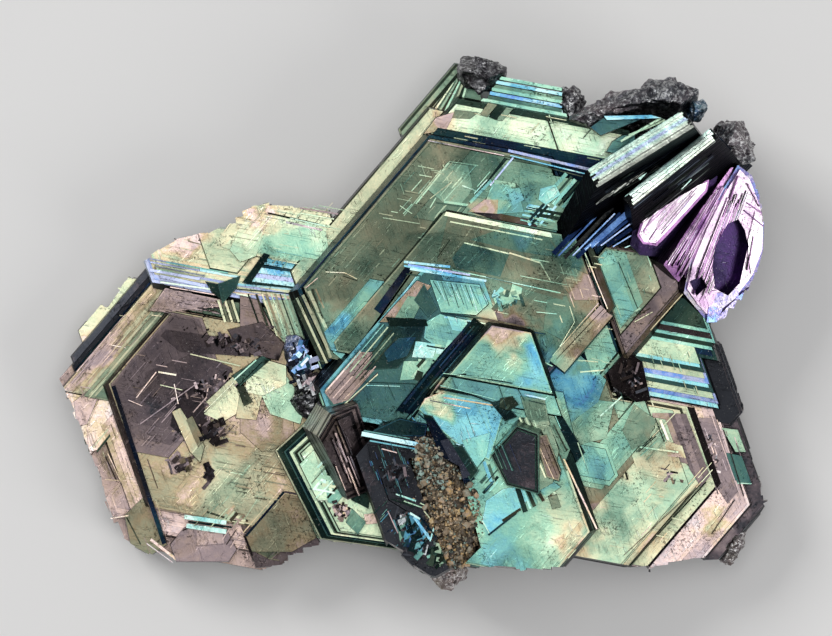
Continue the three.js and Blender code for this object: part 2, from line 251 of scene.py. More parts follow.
def make_pits():
    """specks of dust and small etched pits; the material paints the pits darker, as shade in them
    """
    group, given, result = new_group(
        "pits and dust", [("Position", "Vector"), ("Amount", "Float")],
        [("Pits", "Float"), ("Dust", "Float")])
    fine = noise(group, given["Position"], 6.0, 3.0, 0.7)
    where = noise(group, given["Position"], 0.45, 2.0, 0.6)
    wear_and_pit_shade = maths(group, "MULTIPLY", fit(group, where, 0.50, 0.68), given["Amount"])
    feed(group, result["Pits"], maths(group, "MULTIPLY", fit(group, fine, 0.57, 0.68), wear_and_pit_shade))
    dust = noise(group, given["Position"], 11.0, 2.0, 0.6)
    feed(group, result["Dust"], fit(group, dust, 0.67, 0.74))
    return group


GROWTH_LINES = make_growth_lines()
BLOOM = make_bloom()
PITS = make_pits()


def attribute(tree, name):
    node = tree.nodes.new("ShaderNodeAttribute")
    node.attribute_name = name
    return node.outputs["Fac"]


def position_mm(tree):
    place = tree.nodes.new("ShaderNodeTexCoord").outputs["Object"]
    return vector_maths(tree, "SCALE", place, scale=1000.0)


def use_group(tree, group, **values):
    node = tree.nodes.new("ShaderNodeGroup")
    node.node_tree = group
    for label, value in values.items():
        feed(tree, node.inputs[label.replace("_", " ")], value)
    return node.outputs


# Each bloom: middle on the grid, radius in mm, change of film, change of painted brightness, up for
# painted highlight and down for painted shade.
BLOOMS = [
    (445, 165, 3.0, 0.08, 0.00),
    (395, 235, 4.2, 0.06, -0.06),
    (345, 295, 2.6, 0.12, 0.00),
    (515, 200, 1.6, -0.06, 0.10),
    (485, 208, 1.0, 0.20, 0.05),
    (585, 290, 2.0, 0.18, 0.06),
    (560, 350, 2.0, -0.06, 0.10),
    (570, 250, 2.0, -0.12, 0.06),
    (520, 238, 1.4, -0.16, 0.06),
    (500, 290, 2.2, -0.06, 0.16),
    (538, 364, 2.4, -0.22, 0.06),
    (580, 388, 2.4, -0.17, 0.14),
    (505, 324, 2.7, 0.42, -0.04),
    (440, 396, 1.5, 0.40, 0.00),
    (480, 420, 1.8, -0.02, 0.05),
    (540, 545, 3.0, 0.06, 0.10),
    (500, 545, 2.0, -0.10, 0.00),
    (570, 510, 2.4, 0.20, 0.05),
    (575, 545, 2.0, 0.20, 0.10),
    (660, 465, 2.4, 0.16, -0.20),
    (612, 428, 2.4, -0.06, -0.04),
    (640, 540, 3.0, 0.10, 0.04),
    (720, 530, 1.8, -0.14, 0.10),
    (180, 350, 4.0, 0.02, -0.04),
    (255, 440, 3.0, 0.05, 0.10),
    (225, 478, 2.6, -0.08, 0.10),
    (150, 505, 2.4, 0.06, 0.05),
    (95, 350, 2.4, 0.10, 0.00),
    (265, 222, 1.3, 0.14, 0.00),
    (185, 240, 1.6, 0.14, 0.00),
    (300, 245, 2.0, -0.10, 0.00),
    (442, 125, 1.4, 0.16, 0.00),
    (585, 150, 1.8, -0.06, 0.00),
    (650, 290, 1.8, 0.08, -0.06),
    (340, 320, 1.4, -0.10, 0.20),
    (520, 562, 1.8, -0.03, -0.22),
    (668, 448, 1.3, 0.02, -0.18),
    (272, 370, 1.4, 0.05, -0.18),
    (112, 520, 2.0, 0.00, -0.12),
    (592, 398, 1.5, -0.05, -0.20),
    (592, 346, 1.5, 0.00, -0.16),
    (270, 228, 3.0, 0.00, -0.10),
    (530, 90, 2.0, 0.02, 0.25),
]


def polybasite(name, stops, blooms, side_highlight_tint, seed=0.0):
    """the mineral's metallic surface: tarnished level faces under painted brightness, layered sides
    with painted shade and painted highlights, and dark rubble with painted glints
    """
    material = bpy.data.materials.new(name)
    material.use_nodes = True
    tree = material.node_tree
    surface = tree.nodes["Principled BSDF"]
    position = position_mm(tree)
    shifted = vector_maths(tree, "ADD", position, (seed, seed * 0.7, 0))
    stray = tree.nodes.new("ShaderNodeTexNoise")
    feed(tree, stray.inputs["Vector"], shifted)
    stray.inputs["Scale"].default_value = 0.6
    wandering = vector_maths(tree, "SUBTRACT", stray.outputs["Color"], (0.5, 0.5, 0.5))
    ragged = vector_maths(tree, "ADD", position, vector_maths(tree, "SCALE", wandering, scale=5.0))
    flattened = vector_maths(tree, "MULTIPLY", ragged, (1, 1, 0))

    # each piece's film and painted brightness, which stands for its light and shade, stretched in
    # contrast and changed by the blooms
    contrast = 1.22
    film = attribute(tree, "film")
    glow = maths(tree, "POWER", attribute(tree, "glow"), contrast)
    for column, row, radius, film_shift, glow_shift in blooms:
        outputs = use_group(tree, BLOOM, Position=flattened, Film=film, Glow=glow,
                            Centre=(*at(column, row), 0), Radius=radius,
                            Film_Shift=film_shift, Glow_Shift=glow_shift)
        film, glow = outputs["Film"], outputs["Glow"]

    # growth lines along three directions, each in patches of its own
    relief = streaks_and_glints = painted_groove_shade = None
    for number, spacing in enumerate((0.5, 0.7, 0.6)):
        azimuth = radians(-(TURN + 60 * number))
        lines = use_group(tree, GROWTH_LINES, Position=shifted, Azimuth=azimuth, Spacing=spacing)
        patch = fit(tree, noise(tree, vector_maths(tree, "ADD", shifted, (7.0 * number, 3.0, 0)),
                                0.35, 1.0), 0.47, 0.56)
        steps = maths(tree, "MULTIPLY", maths(tree, "SUBTRACT", lines["Steps"], 0.5), patch)
        streak_and_glint = maths(tree, "MULTIPLY", lines["Lines"], patch)
        relief = steps if relief is None else maths(tree, "ADD", relief, steps)
        streaks_and_glints = streak_and_glint if streaks_and_glints is None else maths(tree, "MAXIMUM", streaks_and_glints, streak_and_glint)
        groove_shade_patch = maths(tree, "MULTIPLY", lines["Groove Shade"], patch)
        painted_groove_shade = groove_shade_patch if painted_groove_shade is None else maths(tree, "MAXIMUM", painted_groove_shade, groove_shade_patch)

    # clouds, grain and growth steps change the film; grain and growth steps change the painted
    # brightness, with painted highlights along the fine striations and painted shade along the
    # furrow lines
    cloud_change, grain_change, step_change = 0.13, 0.16, 0.22
    cloud = noise(tree, shifted, 0.8, 4.0, 0.6)
    grain = noise(tree, shifted, 5.0, 4.0, 0.7)
    film = maths(tree, "MULTIPLY_ADD", maths(tree, "SUBTRACT", cloud, 0.5), cloud_change, film)
    film = maths(tree, "MULTIPLY_ADD", maths(tree, "SUBTRACT", grain, 0.5), grain_change, film)
    film = maths(tree, "MULTIPLY_ADD", relief, step_change, film)
    glow = maths(tree, "MULTIPLY", glow,
                 maths(tree, "ADD", 0.62, maths(tree, "MULTIPLY", grain, 0.76)))
    glow = maths(tree, "MULTIPLY", glow,
                 maths(tree, "ADD", 1.0, maths(tree, "MULTIPLY", relief, 1.0)))
    glow = maths(tree, "MULTIPLY_ADD", streaks_and_glints, maths(tree, "MULTIPLY_ADD", glow, 0.5, 0.06), glow)
    glow = maths(tree, "MULTIPLY", glow,
                 maths(tree, "SUBTRACT", 1.0, maths(tree, "MULTIPLY", painted_groove_shade, 0.26)))

    # dust and pits; the pits are painted darker, as shade in them, and made rougher and lower
    wear_and_pit_shade = use_group(tree, PITS, Position=shifted, Amount=1.0)
    glow = maths(tree, "MULTIPLY", glow,
                 maths(tree, "SUBTRACT", 1.0, maths(tree, "MULTIPLY", wear_and_pit_shade["Pits"], 0.4)))
    glow = maths(tree, "MAXIMUM", glow, 0.02)

    # the level faces: the film's colour scaled by the painted brightness, turned pale as a painted
    # highlight where it is brightest, and dust
    film_colour = dyed(tree, film, stops)
    face = vector_maths(tree, "SCALE", film_colour, scale=maths(tree, "MINIMUM", glow, 1.15))
    painted_highlight = mixed(tree, 0.55, vector_maths(tree, "SCALE", film_colour, scale=1.5),
                   (0.80, 0.86, 0.84, 1))
    face = mixed(tree, fit(tree, glow, 1.05, 1.8, 0.0, 0.9), face, painted_highlight)
    face = mixed(tree, maths(tree, "MULTIPLY", wear_and_pit_shade["Dust"], 0.25), face, (0.62, 0.60, 0.55, 1))

    # the cut sides: thin sheets, painted near black as shade, with pale painted highlights on some
    # sheets
    edge_cut = attribute(tree, "cut_edge")
    squashed = vector_maths(tree, "MULTIPLY", shifted, (0.22, 0.22, 8.0))
    sheets = noise(tree, squashed, 1.0, 2.0, 0.6)
    pale = fit(tree, maths(tree, "ADD", sheets, maths(tree, "SUBTRACT", edge_cut, 1.35)),
               0.30, 0.42)
    side_highlight_colour = mixed(tree, 0.45, film_colour, side_highlight_tint)
    side_shade_colour = vector_maths(tree, "SCALE", film_colour, scale=0.06)
    side_shade_colour = mixed(tree, 0.5, side_shade_colour, (0.012, 0.012, 0.020, 1))
    cut = mixed(tree, pale, side_shade_colour, side_highlight_colour)
    is_cut = maths(tree, "GREATER_THAN", edge_cut, 0.5)
    colour = mixed(tree, is_cut, face, cut)

    # broken surfaces: dark crumbs with bright points, painted glints that grow with the painted
    # brightness
    crumbs = noise(tree, shifted, 1.6, 6.0, 0.72)
    sparkle = fit(tree, noise(tree, shifted, 3.6, 6.0, 0.85), 0.52, 0.57)
    rough_colour = mixed(tree, fit(tree, crumbs, 0.40, 0.62), (0.018, 0.019, 0.023, 1),
                         (0.15, 0.15, 0.16, 1))
    painted_brightness = attribute(tree, "glow")
    rough_colour = mixed(tree, maths(tree, "MULTIPLY", sparkle, maths(tree, "ADD", painted_brightness, 0.5)),
                         rough_colour, (0.84, 0.85, 0.84, 1))
    rough_colour = mixed(tree, maths(tree, "MULTIPLY", painted_brightness, 0.34), rough_colour, film_colour)
    is_broken = maths(tree, "LESS_THAN", edge_cut, -0.5)
    feed(tree, surface.inputs["Base Color"], mixed(tree, is_broken, colour, rough_colour))

    # polish and relief
    surface.inputs["Metallic"].default_value = 1.0
    roughness = maths(tree, "MULTIPLY_ADD", grain, 0.24, 0.20)
    roughness = maths(tree, "MULTIPLY_ADD", wear_and_pit_shade["Pits"], 0.2, roughness)
    roughness = maths(tree, "MULTIPLY_ADD", is_broken, 0.04, roughness)
    feed(tree, surface.inputs["Roughness"], roughness)

    bump = tree.nodes.new("ShaderNodeBump")
    bump.inputs["Strength"].default_value = 0.6
    bump.inputs["Distance"].default_value = 0.00008
    height = maths(tree, "MULTIPLY_ADD", relief, 2.0, maths(tree, "MULTIPLY", grain, 0.4))
    height = maths(tree, "MULTIPLY_ADD", wear_and_pit_shade["Pits"], -0.5, height)
    height = maths(tree, "MULTIPLY_ADD", streaks_and_glints, 0.3, height)
    height = maths(tree, "MULTIPLY_ADD", maths(tree, "MULTIPLY", sheets, is_cut), 1.2, height)
    height = maths(tree, "MULTIPLY_ADD", maths(tree, "MULTIPLY", crumbs, is_broken), 2.5, height)
    feed(tree, bump.inputs["Height"], height)
    feed(tree, surface.inputs["Normal"], bump.outputs["Normal"])
    return material


TARNISHED = polybasite("tarnished_polybasite", FILM_COLOURS, BLOOMS, (0.62, 0.74, 0.76, 1))

# Every tablet is cleaved from a block by upright faces, and the pieces that wait in growing are
# joined to one solid, less those in breaking. Sizes are in mm here and become metres at the end.
BLOCK = 60.0
JOINED_AT_A_TIME = 90
# A loose part that is lower than this many mm is a crumb and is taken away.
CRUMB = 1.5
# A face whose normal rises more than this is level: it is a top or a bottom, and not a side.
LEVEL = 0.97
# The cut value of a plain side.
PLAIN = 0.05
# The cut value of a surface that was broken and not cleaved.
BROKEN = -2.0
growing = []
breaking = []


def grow(piece):
    """adds a piece to the crystal; a long row of pieces is joined as it goes, to stay quick"""
    if len(growing) >= JOINED_AT_A_TIME:
        together(growing[0], growing[1:], "UNION")
        del growing[1:]
    growing.append(piece)


def compass(azimuth, rise=0.0):
    """a direction, from its azimuth and its rise in degrees"""
    flat = cos(radians(rise))
    return Vector((flat * cos(radians(azimuth)), flat * sin(radians(azimuth)), sin(radians(rise))))


def cleave(point, outward):
    """cuts away what lies outside a plane through a point"""
    bpy.ops.mesh.select_all(action="SELECT")
    bpy.ops.mesh.bisect(plane_co=point, plane_no=outward.normalized(), use_fill=True,
                        clear_outer=True, threshold=1e-5)


def paint_faces(piece, film, glow, cut, rim=(0.0, 1.0)):
    """film and painted brightness for each face, its painted light and shade; a side has 1 plus its
    cut value, the higher the paler its painted highlight.
    The rim is how the border of the top differs: change of film, then painted brightness, a painted
    highlight along the edge where it is above 1."""
    mesh = piece.data
    level = [face for face in mesh.polygons if abs(face.normal.z) > LEVEL]
    middle = max((face.area for face in level if face.normal.z > 0), default=0)
    values = {"film": [], "glow": [], "cut_edge": []}
    for face in mesh.polygons:
        flat = abs(face.normal.z) > LEVEL
        border = flat and face.normal.z > 0 and face.area < middle
        values["film"].append(film + 0.4 * rim[0] if border else film)
        values["glow"].append(glow * (0.5 + 0.5 * rim[1]) if border else glow)
        values["cut_edge"].append(0.0 if flat else 1.0 + cut)
    for name, numbers in values.items():
        layer = mesh.attributes.new(name, "FLOAT", "FACE")
        layer.data.foreach_set("value", numbers)


def settle():
    """applies the place, turn and size of the selected pieces to their meshes"""
    bpy.ops.object.transform_apply(location=True, rotation=True, scale=True)


def select_only(active, *others):
    bpy.ops.object.select_all(action="DESELECT")
    for piece in (active, *others):
        piece.select_set(True)
    bpy.context.view_layer.objects.active = active


def add_block(place, size, turn=(0, 0, 0)):
    """a box with its middle at a place, its size in mm and its turn in radians"""
    bpy.ops.mesh.primitive_cube_add(size=1, location=place, rotation=turn)
    piece = bpy.context.object
    piece.scale = size
    settle()
    return piece


def add_line(start, end, level, width, height):
    """a narrow box from one point to another, with its middle at a level"""
    along = end - start
    return add_block((*((start + end) / 2), level), (along.length, width, height),
                     (0, 0, atan2(along.y, along.x)))


def finish_tablet(piece, film, glow, cut, border, rim):
    """sets a border around the top, colours the piece and lets it join the crystal"""
    if border:
        bpy.ops.mesh.select_all(action="DESELECT")
        bpy.ops.object.mode_set(mode="OBJECT")
        for face in piece.data.polygons:
            face.select = face.normal.z > LEVEL
        bpy.ops.object.mode_set(mode="EDIT")
        bpy.ops.mesh.inset(thickness=border, depth=0.0)
    bpy.ops.object.mode_set(mode="OBJECT")
    paint_faces(piece, film, glow, cut, rim)
    grow(piece)
    return piece


def tablet(middle, reaches, bottom, top, film, glow=0.8, cut=PLAIN, slope=0.08, turn=TURN,
           border=0.0, rim=(0.05, 1.1), azimuths=None):
    """one tablet between two levels; reaches run anticlockwise from its right-hand face"""
    x, y = middle
    piece = add_block((x, y, (top + bottom) / 2), (BLOCK, BLOCK, top - bottom))
    bpy.ops.object.mode_set(mode="EDIT")
    azimuths = azimuths or [turn + 60 * side for side in range(6)]
    slopes = slope if isinstance(slope, (list, tuple)) else [slope] * len(azimuths)
    for azimuth, reach, run in zip(azimuths, reaches, slopes):
        outward = compass(azimuth)
        edge = Vector((x, y, top)) + outward * reach
        cleave(edge, outward * (top - bottom) + Vector((0, 0, run)))
    return finish_tablet(piece, film, glow, cut, border, rim)


def slab(points, bottom, top, film, glow=0.8, cut=PLAIN, slope=0.05, border=0.0,
         rim=(0.05, 1.1)):
    """a flat piece between two levels with the given corners in mm"""
    points = [Vector(point) for point in points]
    middle = sum(points, Vector((0, 0))) / len(points)
    piece = add_block((*middle, (top + bottom) / 2), (BLOCK, BLOCK, top - bottom))
    bpy.ops.object.mode_set(mode="EDIT")
    for first, second in zip(points, points[1:] + points[:1]):
        along = second - first
        outward = Vector((along.y, -along.x)).normalized()
        if outward.dot(first - middle) < 0:
            outward = -outward
        cleave(Vector((*first, top)), Vector((*(outward * (top - bottom)), slope)))
    bpy.ops.mesh.select_all(action="SELECT")
    bpy.ops.mesh.remove_doubles(threshold=0.004)
    bpy.ops.mesh.delete(type="EDGE_FACE")
    bpy.ops.mesh.select_all(action="SELECT")
    bpy.ops.mesh.convex_hull(use_existing_faces=False, join_triangles=False)
    bpy.ops.mesh.select_all(action="SELECT")
    bpy.ops.mesh.dissolve_limited(angle_limit=radians(0.5))
    return finish_tablet(piece, film, glow, cut, border, rim)


def bar(start, end, width, top, film, glow, height=0.45):
    """a straight strip along a line on the grid, width in mm"""
    piece = add_line(Vector(at(*start)), Vector(at(*end)), top - height / 2, width, height)
    paint_faces(piece, film, glow, PLAIN)
    grow(piece)


def stack(middle, rows):
    """tablets in a row; each is six reaches, bottom, top, film, painted brightness, paleness of the
    sides' painted highlight, slope
    """
    for row in rows:
        tablet(middle, row[:6], *row[6:])


def plates(rows, slope=0.05):
    """flat pieces; each is its corners on the grid, bottom, top, film, painted brightness, border,
    rim
    """
    for corners, bottom, top, film, glow, *edge in rows:
        slab([at(*corner) for corner in pairs(corners)], bottom, top, film, glow, slope=slope,
             **dict(zip(("border", "rim"), edge)))


def strips(lines, top, rise=0.02, height=0.45):
    """strips on one face, each a little higher than the last: start, end, width, film, glow;
    near-black ones are painted shadow lines and bright ones painted highlights
    """
    for number, (column, row, to_column, to_row, width, film, glow) in enumerate(lines):
        bar((column, row), (to_column, to_row), width, top + rise * number, film, glow,
            height=height)


def bars(lines, height=0.45):
    """strips that each have a level of their own: start, end, width, top, film, glow, the glow a
    painted brightness
    """
    for column, row, to_column, to_row, width, top, film, glow in lines:
        bar((column, row), (to_column, to_row), width, top, film, glow, height=height)


def strokes(low, high, azimuth, count, top, film, seed, length=(0.4, 2.0), width=(0.03, 0.07),
            glow=(0.8, 1.5), spill=0.08):
    """fine growth lines that run one way over part of a face, each with its own painted brightness
    """
    dice = random.Random(seed)
    run = compass(azimuth).to_2d()
    for _ in range(count):
        column = dice.uniform(low[0], high[0])
        row = dice.uniform(low[1], high[1])
        half = dice.uniform(*length) / (2 * SQUARE)
        bar((column - run.x * half, row + run.y * half),
            (column + run.x * half, row - run.y * half), dice.uniform(*width),
            top + dice.uniform(0, 0.03), film + dice.uniform(-spill, spill), dice.uniform(*glow),
            height=0.4)


def pile(middle, reaches, bottom, top, film, seed, thickness=0.3, stagger=0.25, glow=0.7,
         slope=0.03, turn=TURN, azimuths=None):
    """growth layers up a crystal's side, each standing out or back a little"""
    dice = random.Random(seed)
    count = max(1, round((top - bottom) / thickness))
    drift = [0.0] * len(reaches)
    for layer in range(count):
        low = bottom + (top - bottom) * layer / count
        high = bottom + (top - bottom) * (layer + 1) / count
        drift = [min(1.0, max(0.0, d + dice.uniform(-0.55, 0.55))) for d in drift]
        tablet(middle, [r - stagger * d for r, d in zip(reaches, drift)],
               low - 0.05, high, film + dice.uniform(-0.08, 0.08), glow * dice.uniform(0.7, 1.2),
               cut=dice.choice((0.0, 0.03, 0.1, 0.22)), slope=slope, turn=turn, azimuths=azimuths)


def steps(middle, reaches, top, count, film, seed, back=(), step=0.5, glow=0.8, drift=0.0):
    """thin growth steps on a face: each keeps most of its outline and steps back on some sides"""
    dice = random.Random(seed)
    rise = 0.045
    for number in range(count):
        inner = []
        for side, reach in enumerate(reaches):
            share = (number + dice.uniform(0.1, 0.9)) if side in back else 0.0
            inner.append(reach - 0.06 - 0.03 * number - share * step)
        tablet(middle, inner, top - 0.1, top + rise * (number + 1),
               film + drift * (number + 1) + dice.uniform(-0.03, 0.03),
               glow * dice.uniform(0.88, 1.14), cut=dice.choice((0.1, 0.1, 0.45)), slope=0.05)


def shards(corners, top, count, film, seed, azimuths=(RISING, STEEP, FALLING),
           glow=(0.1, 1.1), length=(0.3, 1.4), width=(0.08, 0.4), lift=0.35, sink=0.4):
    """a broken area: strips of thin layers of all lengths, side by side in the crystal's lines"""
    dice = random.Random(seed)
    points = [Vector(at(*corner)) for corner in pairs(corners)]
    for _ in range(count):
        shares = [dice.random() for _ in points]
        place = sum((p * s for p, s in zip(points, shares)), Vector((0, 0))) / sum(shares)
        height = dice.uniform(0.02, lift)
        piece = add_block((*place, top + (height - sink) / 2),
                          turn=(0, 0, radians(dice.choice(azimuths))),
                          size=(dice.uniform(*length), dice.uniform(*width), height + sink))
        paint_faces(piece, film + dice.uniform(-0.12, 0.12),
                    dice.choice(glow) * dice.uniform(0.8, 1.2), dice.choice((0.0, 0.1, 0.4)))
        grow(piece)


def lean_of(dip, toward):
    """the turn that tips what was level down toward an azimuth"""
    return (Matrix.Rotation(radians(toward), 4, "Z") @ Matrix.Rotation(radians(dip), 4, "Y")
            @ Matrix.Rotation(radians(-toward), 4, "Z"))


def tip(piece, place, dip, toward):
    """tips a piece made around the origin down toward an azimuth and puts it in place"""
    piece.matrix_world = Matrix.Translation(place) @ lean_of(dip, toward)
    select_only(piece)
    settle()


# Each break is made by a block this long in mm that stands out from the edge, and its depth
# varies by this share of the bite.
BREAKER = 3.2
BITE_SHARE = 0.32


def ragged_break(line, outward, seed, bite=0.35, high=14.0, every=0.28, film=0.85):
    """knocks a ragged edge along a line on the grid, by small flat breaks side by side"""
    dice = random.Random(seed)
    low = -1.0
    points = [Vector(at(*corner)) for corner in pairs(line)]
    for first, second in zip(points, points[1:]):
        count = max(1, round((second - first).length / every))
        for number in range(count):
            place = first.lerp(second, (number + dice.random()) / count)
            reach = BREAKER / 2 + dice.uniform(-bite, bite) * BITE_SHARE
            middle = place + compass(outward).to_2d() * reach
            piece = add_block(
                (*middle, (low + high) / 2),
                turn=(radians(dice.uniform(-3, 3)), radians(dice.uniform(-3, 3)),
                      radians(outward + dice.uniform(-13, 13))),
                size=(BREAKER, dice.uniform(0.6, 1.4), high - low))
            paint_faces(piece, film, 0.5, BROKEN)
            breaking.append(piece)


def together(target, pieces, operation):
    """joins or cuts away all the pieces in one step"""
    group = bpy.data.collections.new("pieces")
    bpy.context.scene.collection.children.link(group)
    for piece in pieces:
        for home in list(piece.users_collection):
            home.objects.unlink(piece)
        group.objects.link(piece)
    select_only(target)
    change = target.modifiers.new("together", "BOOLEAN")
    change.operation = operation
    change.operand_type = "COLLECTION"
    change.collection = group
    change.solver = "MANIFOLD"
    bpy.ops.object.modifier_apply(modifier="together")
    for piece in pieces:
        bpy.data.objects.remove(piece, do_unlink=True)
    bpy.data.collections.remove(group)


# The brown crust sits in a hollow with these faces, cut into each crystal around it.
CRUST_MIDDLE = (1.9, -11.1)
CRUST_FACES = [15, 62, 110, 200, 255, 315]
CRUST_REACHES = [1.3, 2.6, 3.6, 1.0, 3.2, 2.9]


def open_crust_seat():
    """cuts the hollow that the brown crust grows in; its faces are painted near black, as shade in
    the hollow
    """
    seat = tablet(CRUST_MIDDLE, [reach + 0.1 for reach in CRUST_REACHES], 5.3, 14.0, 0.3,
                  glow=0.05, azimuths=CRUST_FACES, slope=0.0)
    growing.remove(seat)
    breaking.append(seat)


def join_crystal(name, material, node):
    """joins the waiting pieces to one solid, cuts the breaks into it and makes it metres"""
    first, *others = growing
    growing.clear()
    together(first, others, "UNION")
    if breaking:
        together(first, list(breaking), "DIFFERENCE")
        breaking.clear()
    select_only(first)
    bpy.ops.object.mode_set(mode="EDIT")
    bpy.ops.mesh.select_all(action="SELECT")
    bpy.ops.mesh.separate(type="LOOSE")
    bpy.ops.object.mode_set(mode="OBJECT")
    parts = sorted(bpy.context.selected_objects, key=lambda part: -len(part.data.vertices))
    whole = [part for part in parts if part == parts[0] or part.dimensions.z > CRUMB]
    for part in parts:
        if part not in whole:
            bpy.data.objects.remove(part, do_unlink=True)
    first = whole[0]
    bpy.context.view_layer.objects.active = first
    if len(whole) > 1:
        bpy.ops.object.join()
    first.scale = (MM, MM, MM)
    settle()
    first.name = name
    first.data.name = name
    first.data.materials.clear()
    first.data.materials.append(material)
    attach(first, "root")
    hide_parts(node)


MAIN = (2.1, 5.1)

tablet(MAIN, [8.4, 7.4, 3.6, 7.4, 7.0, 9.4], 0.0, 1.2, 0.85, 0.2, slope=-0.3)
pile(MAIN, [9.2, 8.4, 5.0, 9.0, 8.4, 10.6], 0.9, 3.4, 0.8, 11, stagger=0.5, glow=0.3)
pile(MAIN, [4.7, 10.5, 6.7, 0.7, -5.6, 12.0], 1.4, 4.4, 0.5, 12, thickness=0.25, stagger=0.35,
     glow=0.5)
for inset, top, film, glow in [(0.0, 4.55, 0.50, 0.12), (0.16, 4.65, 0.52, 0.60),
                               (0.42, 4.72, 0.50, 0.08), (0.62, 4.80, 0.50, 0.70),
                               (0.84, 4.88, 0.40, 0.15), (1.0, 5.0, 0.45, 0.55)]:
    tablet(MAIN, [4.6, 10.45 - inset, 6.6 - inset, 0.6, -5.6, 12.0], top - 0.8, top, film, glow,
           cut=0.0)
for number in range(9):
    top = 6.0 - 0.42 * number
    tablet(MAIN, [9.1 - 0.15 * number, 8.7 + 0.17 * number, 4.0 - 0.3 * number, 6.0, 0.0, 6.0],
           1.6, top, (0.38, 0.26, 0.40, 0.33)[number % 4], (1.2, 1.5, 0.7, 1.15)[number % 4],
           cut=(0.6, 0.1, 0.6)[number % 3], slope=0.10)
for row, reach, film, glow in [(78, 62, 0.38, 1.1), (82, 66, 0.22, 1.3), (86, 68, 0.40, 0.5),
                               (89, 70, 0.36, 1.0), (93, 72, 0.12, 1.2), (97, 74, 0.34, 0.3),
                               (100, 76, 0.42, 1.0), (104, 78, 0.26, 1.2)]:
    bar((562 - reach, row), (562, row + 0.185 * reach), 0.20, 5.7 + 0.02 * (104 - row), film, glow,
        height=3.0)
for number in range(10):
    bar((404 + 5.5 * number, 148 - 2.0 * number), (452 + 2.0 * number, 84 - 1.2 * number), 0.12,
        5.5 + 0.03 * number, (0.50, 0.58, 0.44)[number % 3], (0.10, 1.1, 0.25, 0.7)[number % 4],
        height=2.5)
pile(MAIN, [9.0, 7.5, 6.1, 9.7, 9.0, 11.4], 2.0, 5.5, 0.6, 13, thickness=0.35, stagger=0.2,
     slope=0.1)
stack(MAIN, [
    (9, 7.5, 6.1, 9.7, 9, 11.4, 5, 5.75, 0.57, 0.1, 0, 0.12),
    (9, 7.5, 6, 9.6, 9, 11.4, 5.6, 5.82, 0.59, 0.85, 0.3),
    (9, 7.5, 5.3, 9.5, 9, 11.4, 5.6, 5.88, 0.61, 0.06, 0.1),
])
pile(MAIN, [12.0, 8.3, 5.1, 9.9, 9.0, 12.0], 2.6, 6.2, 0.5, 14, thickness=0.4, stagger=0.2,
     slope=0.08)
stack(MAIN, [
    (12.3, 8.4, 5.1, 9.9, 9, 12, 5.9, 6.55, 0.4, 0.12, 0, 0.15),
    (12.3, 8.05, 5, 9.9, 9, 12, 6.3, 6.66, 0.53, 1.12, 0),
    (12.2, 7.8, 4.9, 9.9, 9, 12, 6.4, 6.72, 0.52, 1.15, 0.5),
])
plates([
    ((436, 118, 455, 112, 446, 130, 424, 134), 6.6, 6.78, 0.66, 0.8),
    ((455, 110, 478, 113, 470, 119, 452, 118), 6.6, 6.8, 0.5, 0.35),
])
bar((546, 115), (561, 159), 0.10, 6.76, 0.55, 0.12)
bar((549, 115), (564, 159), 0.05, 6.78, 0.55, 1.2)
plates([
    ((488, 103, 497, 105, 487, 117, 480, 115), 6.6, 6.85, 0.6, 0.45),
    ((497, 105, 507, 107, 496, 120, 489, 117), 6.6, 6.9, 0.42, 0.1),
    ((504, 107, 513, 109, 502, 121, 497, 120), 6.6, 6.85, 0.52, 0.6),
    ((450, 133, 494, 142, 491, 148, 446, 139), 6.6, 6.82, 0.28, 1.35),
    ((494, 143, 536, 151, 533, 156, 491, 148), 6.6, 6.8, 0.24, 0.35),
    ((536, 151, 590, 161, 588, 167, 533, 156), 6.6, 6.78, 0.5, 1.05),
])
stack(MAIN, [
    (12.2, 6.45, 4.9, 9.8, 9, 12, 6.4, 6.86, 0.15, 0.12, 0, 0.1),
    (7.4, 5.95, 5, 9.6, 8.5, 9.7, 6, 7.5, 0.12, 0.15, 0, [0.2, 0.2, 0.3, 0.6, 0.2, 0.4]),
])
# The main face is painted dim, as shade where it catches less light.
tablet(MAIN, [7.2, 5.7, 4.8, 9.2, 8.3, 9.4], 5.8, 8.0, 0.50, 0.33, cut=0.02,
       slope=[0.15, 0.3, 0.5, 0.8, 0.2, 0.3], border=0.10, rim=(0.20, 1.7))
steps(MAIN, [7.2, 5.55, 4.7, 9.1, 8.3, 9.4], 8.0, 2, 0.49, 21, back=(5,), step=0.4, glow=0.33)
stack(MAIN, [
    (7, 5.45, 2.5, 8, -0.9, 8, 7.9, 8.16, 0.44, 0.37, 0.1),
    (7, 5.4, 0.9, 8, -1.1, 8, 7.9, 8.22, 0.42, 0.36, 0.3),
    (7.1, 5.3, 0.5, 3.6, -1.7, 8.4, 7.9, 8.34, 0.44, 0.52, 0.02, 0.14),
    (7, 5, 0.38, 3.4, -1.9, 8.4, 8.2, 8.38, 0.42, 0.52, 0.1, 0.03),
])
strips([
    (508, 151, 594, 171, 0.16, 0.03, 1.05), (510, 156, 588, 175, 0.07, 0.2, 1.3),
    (516, 160, 586, 178, 0.05, 0.52, 0.2),
], 8.38)
strips([
    (428, 141, 504, 156, 0.06, 0.85, 1.2),
], 8.22)
plates([((504, 158, 509, 160, 471, 214, 464, 212), 8, 8.24, 0.3, 0.08)])
strips([
    (513, 158, 490, 186, 0.1, 0.03, 1.4), (491, 181, 470, 203, 0.18, 0.3, 0.9),
    (487, 180, 474, 194, 0.06, 0.36, 1.5), (499, 184, 482, 203, 0.05, 0.3, 0.1),
    (490, 172, 477, 187, 0.05, 0.4, 1.2),
], 8.42, 0.006)
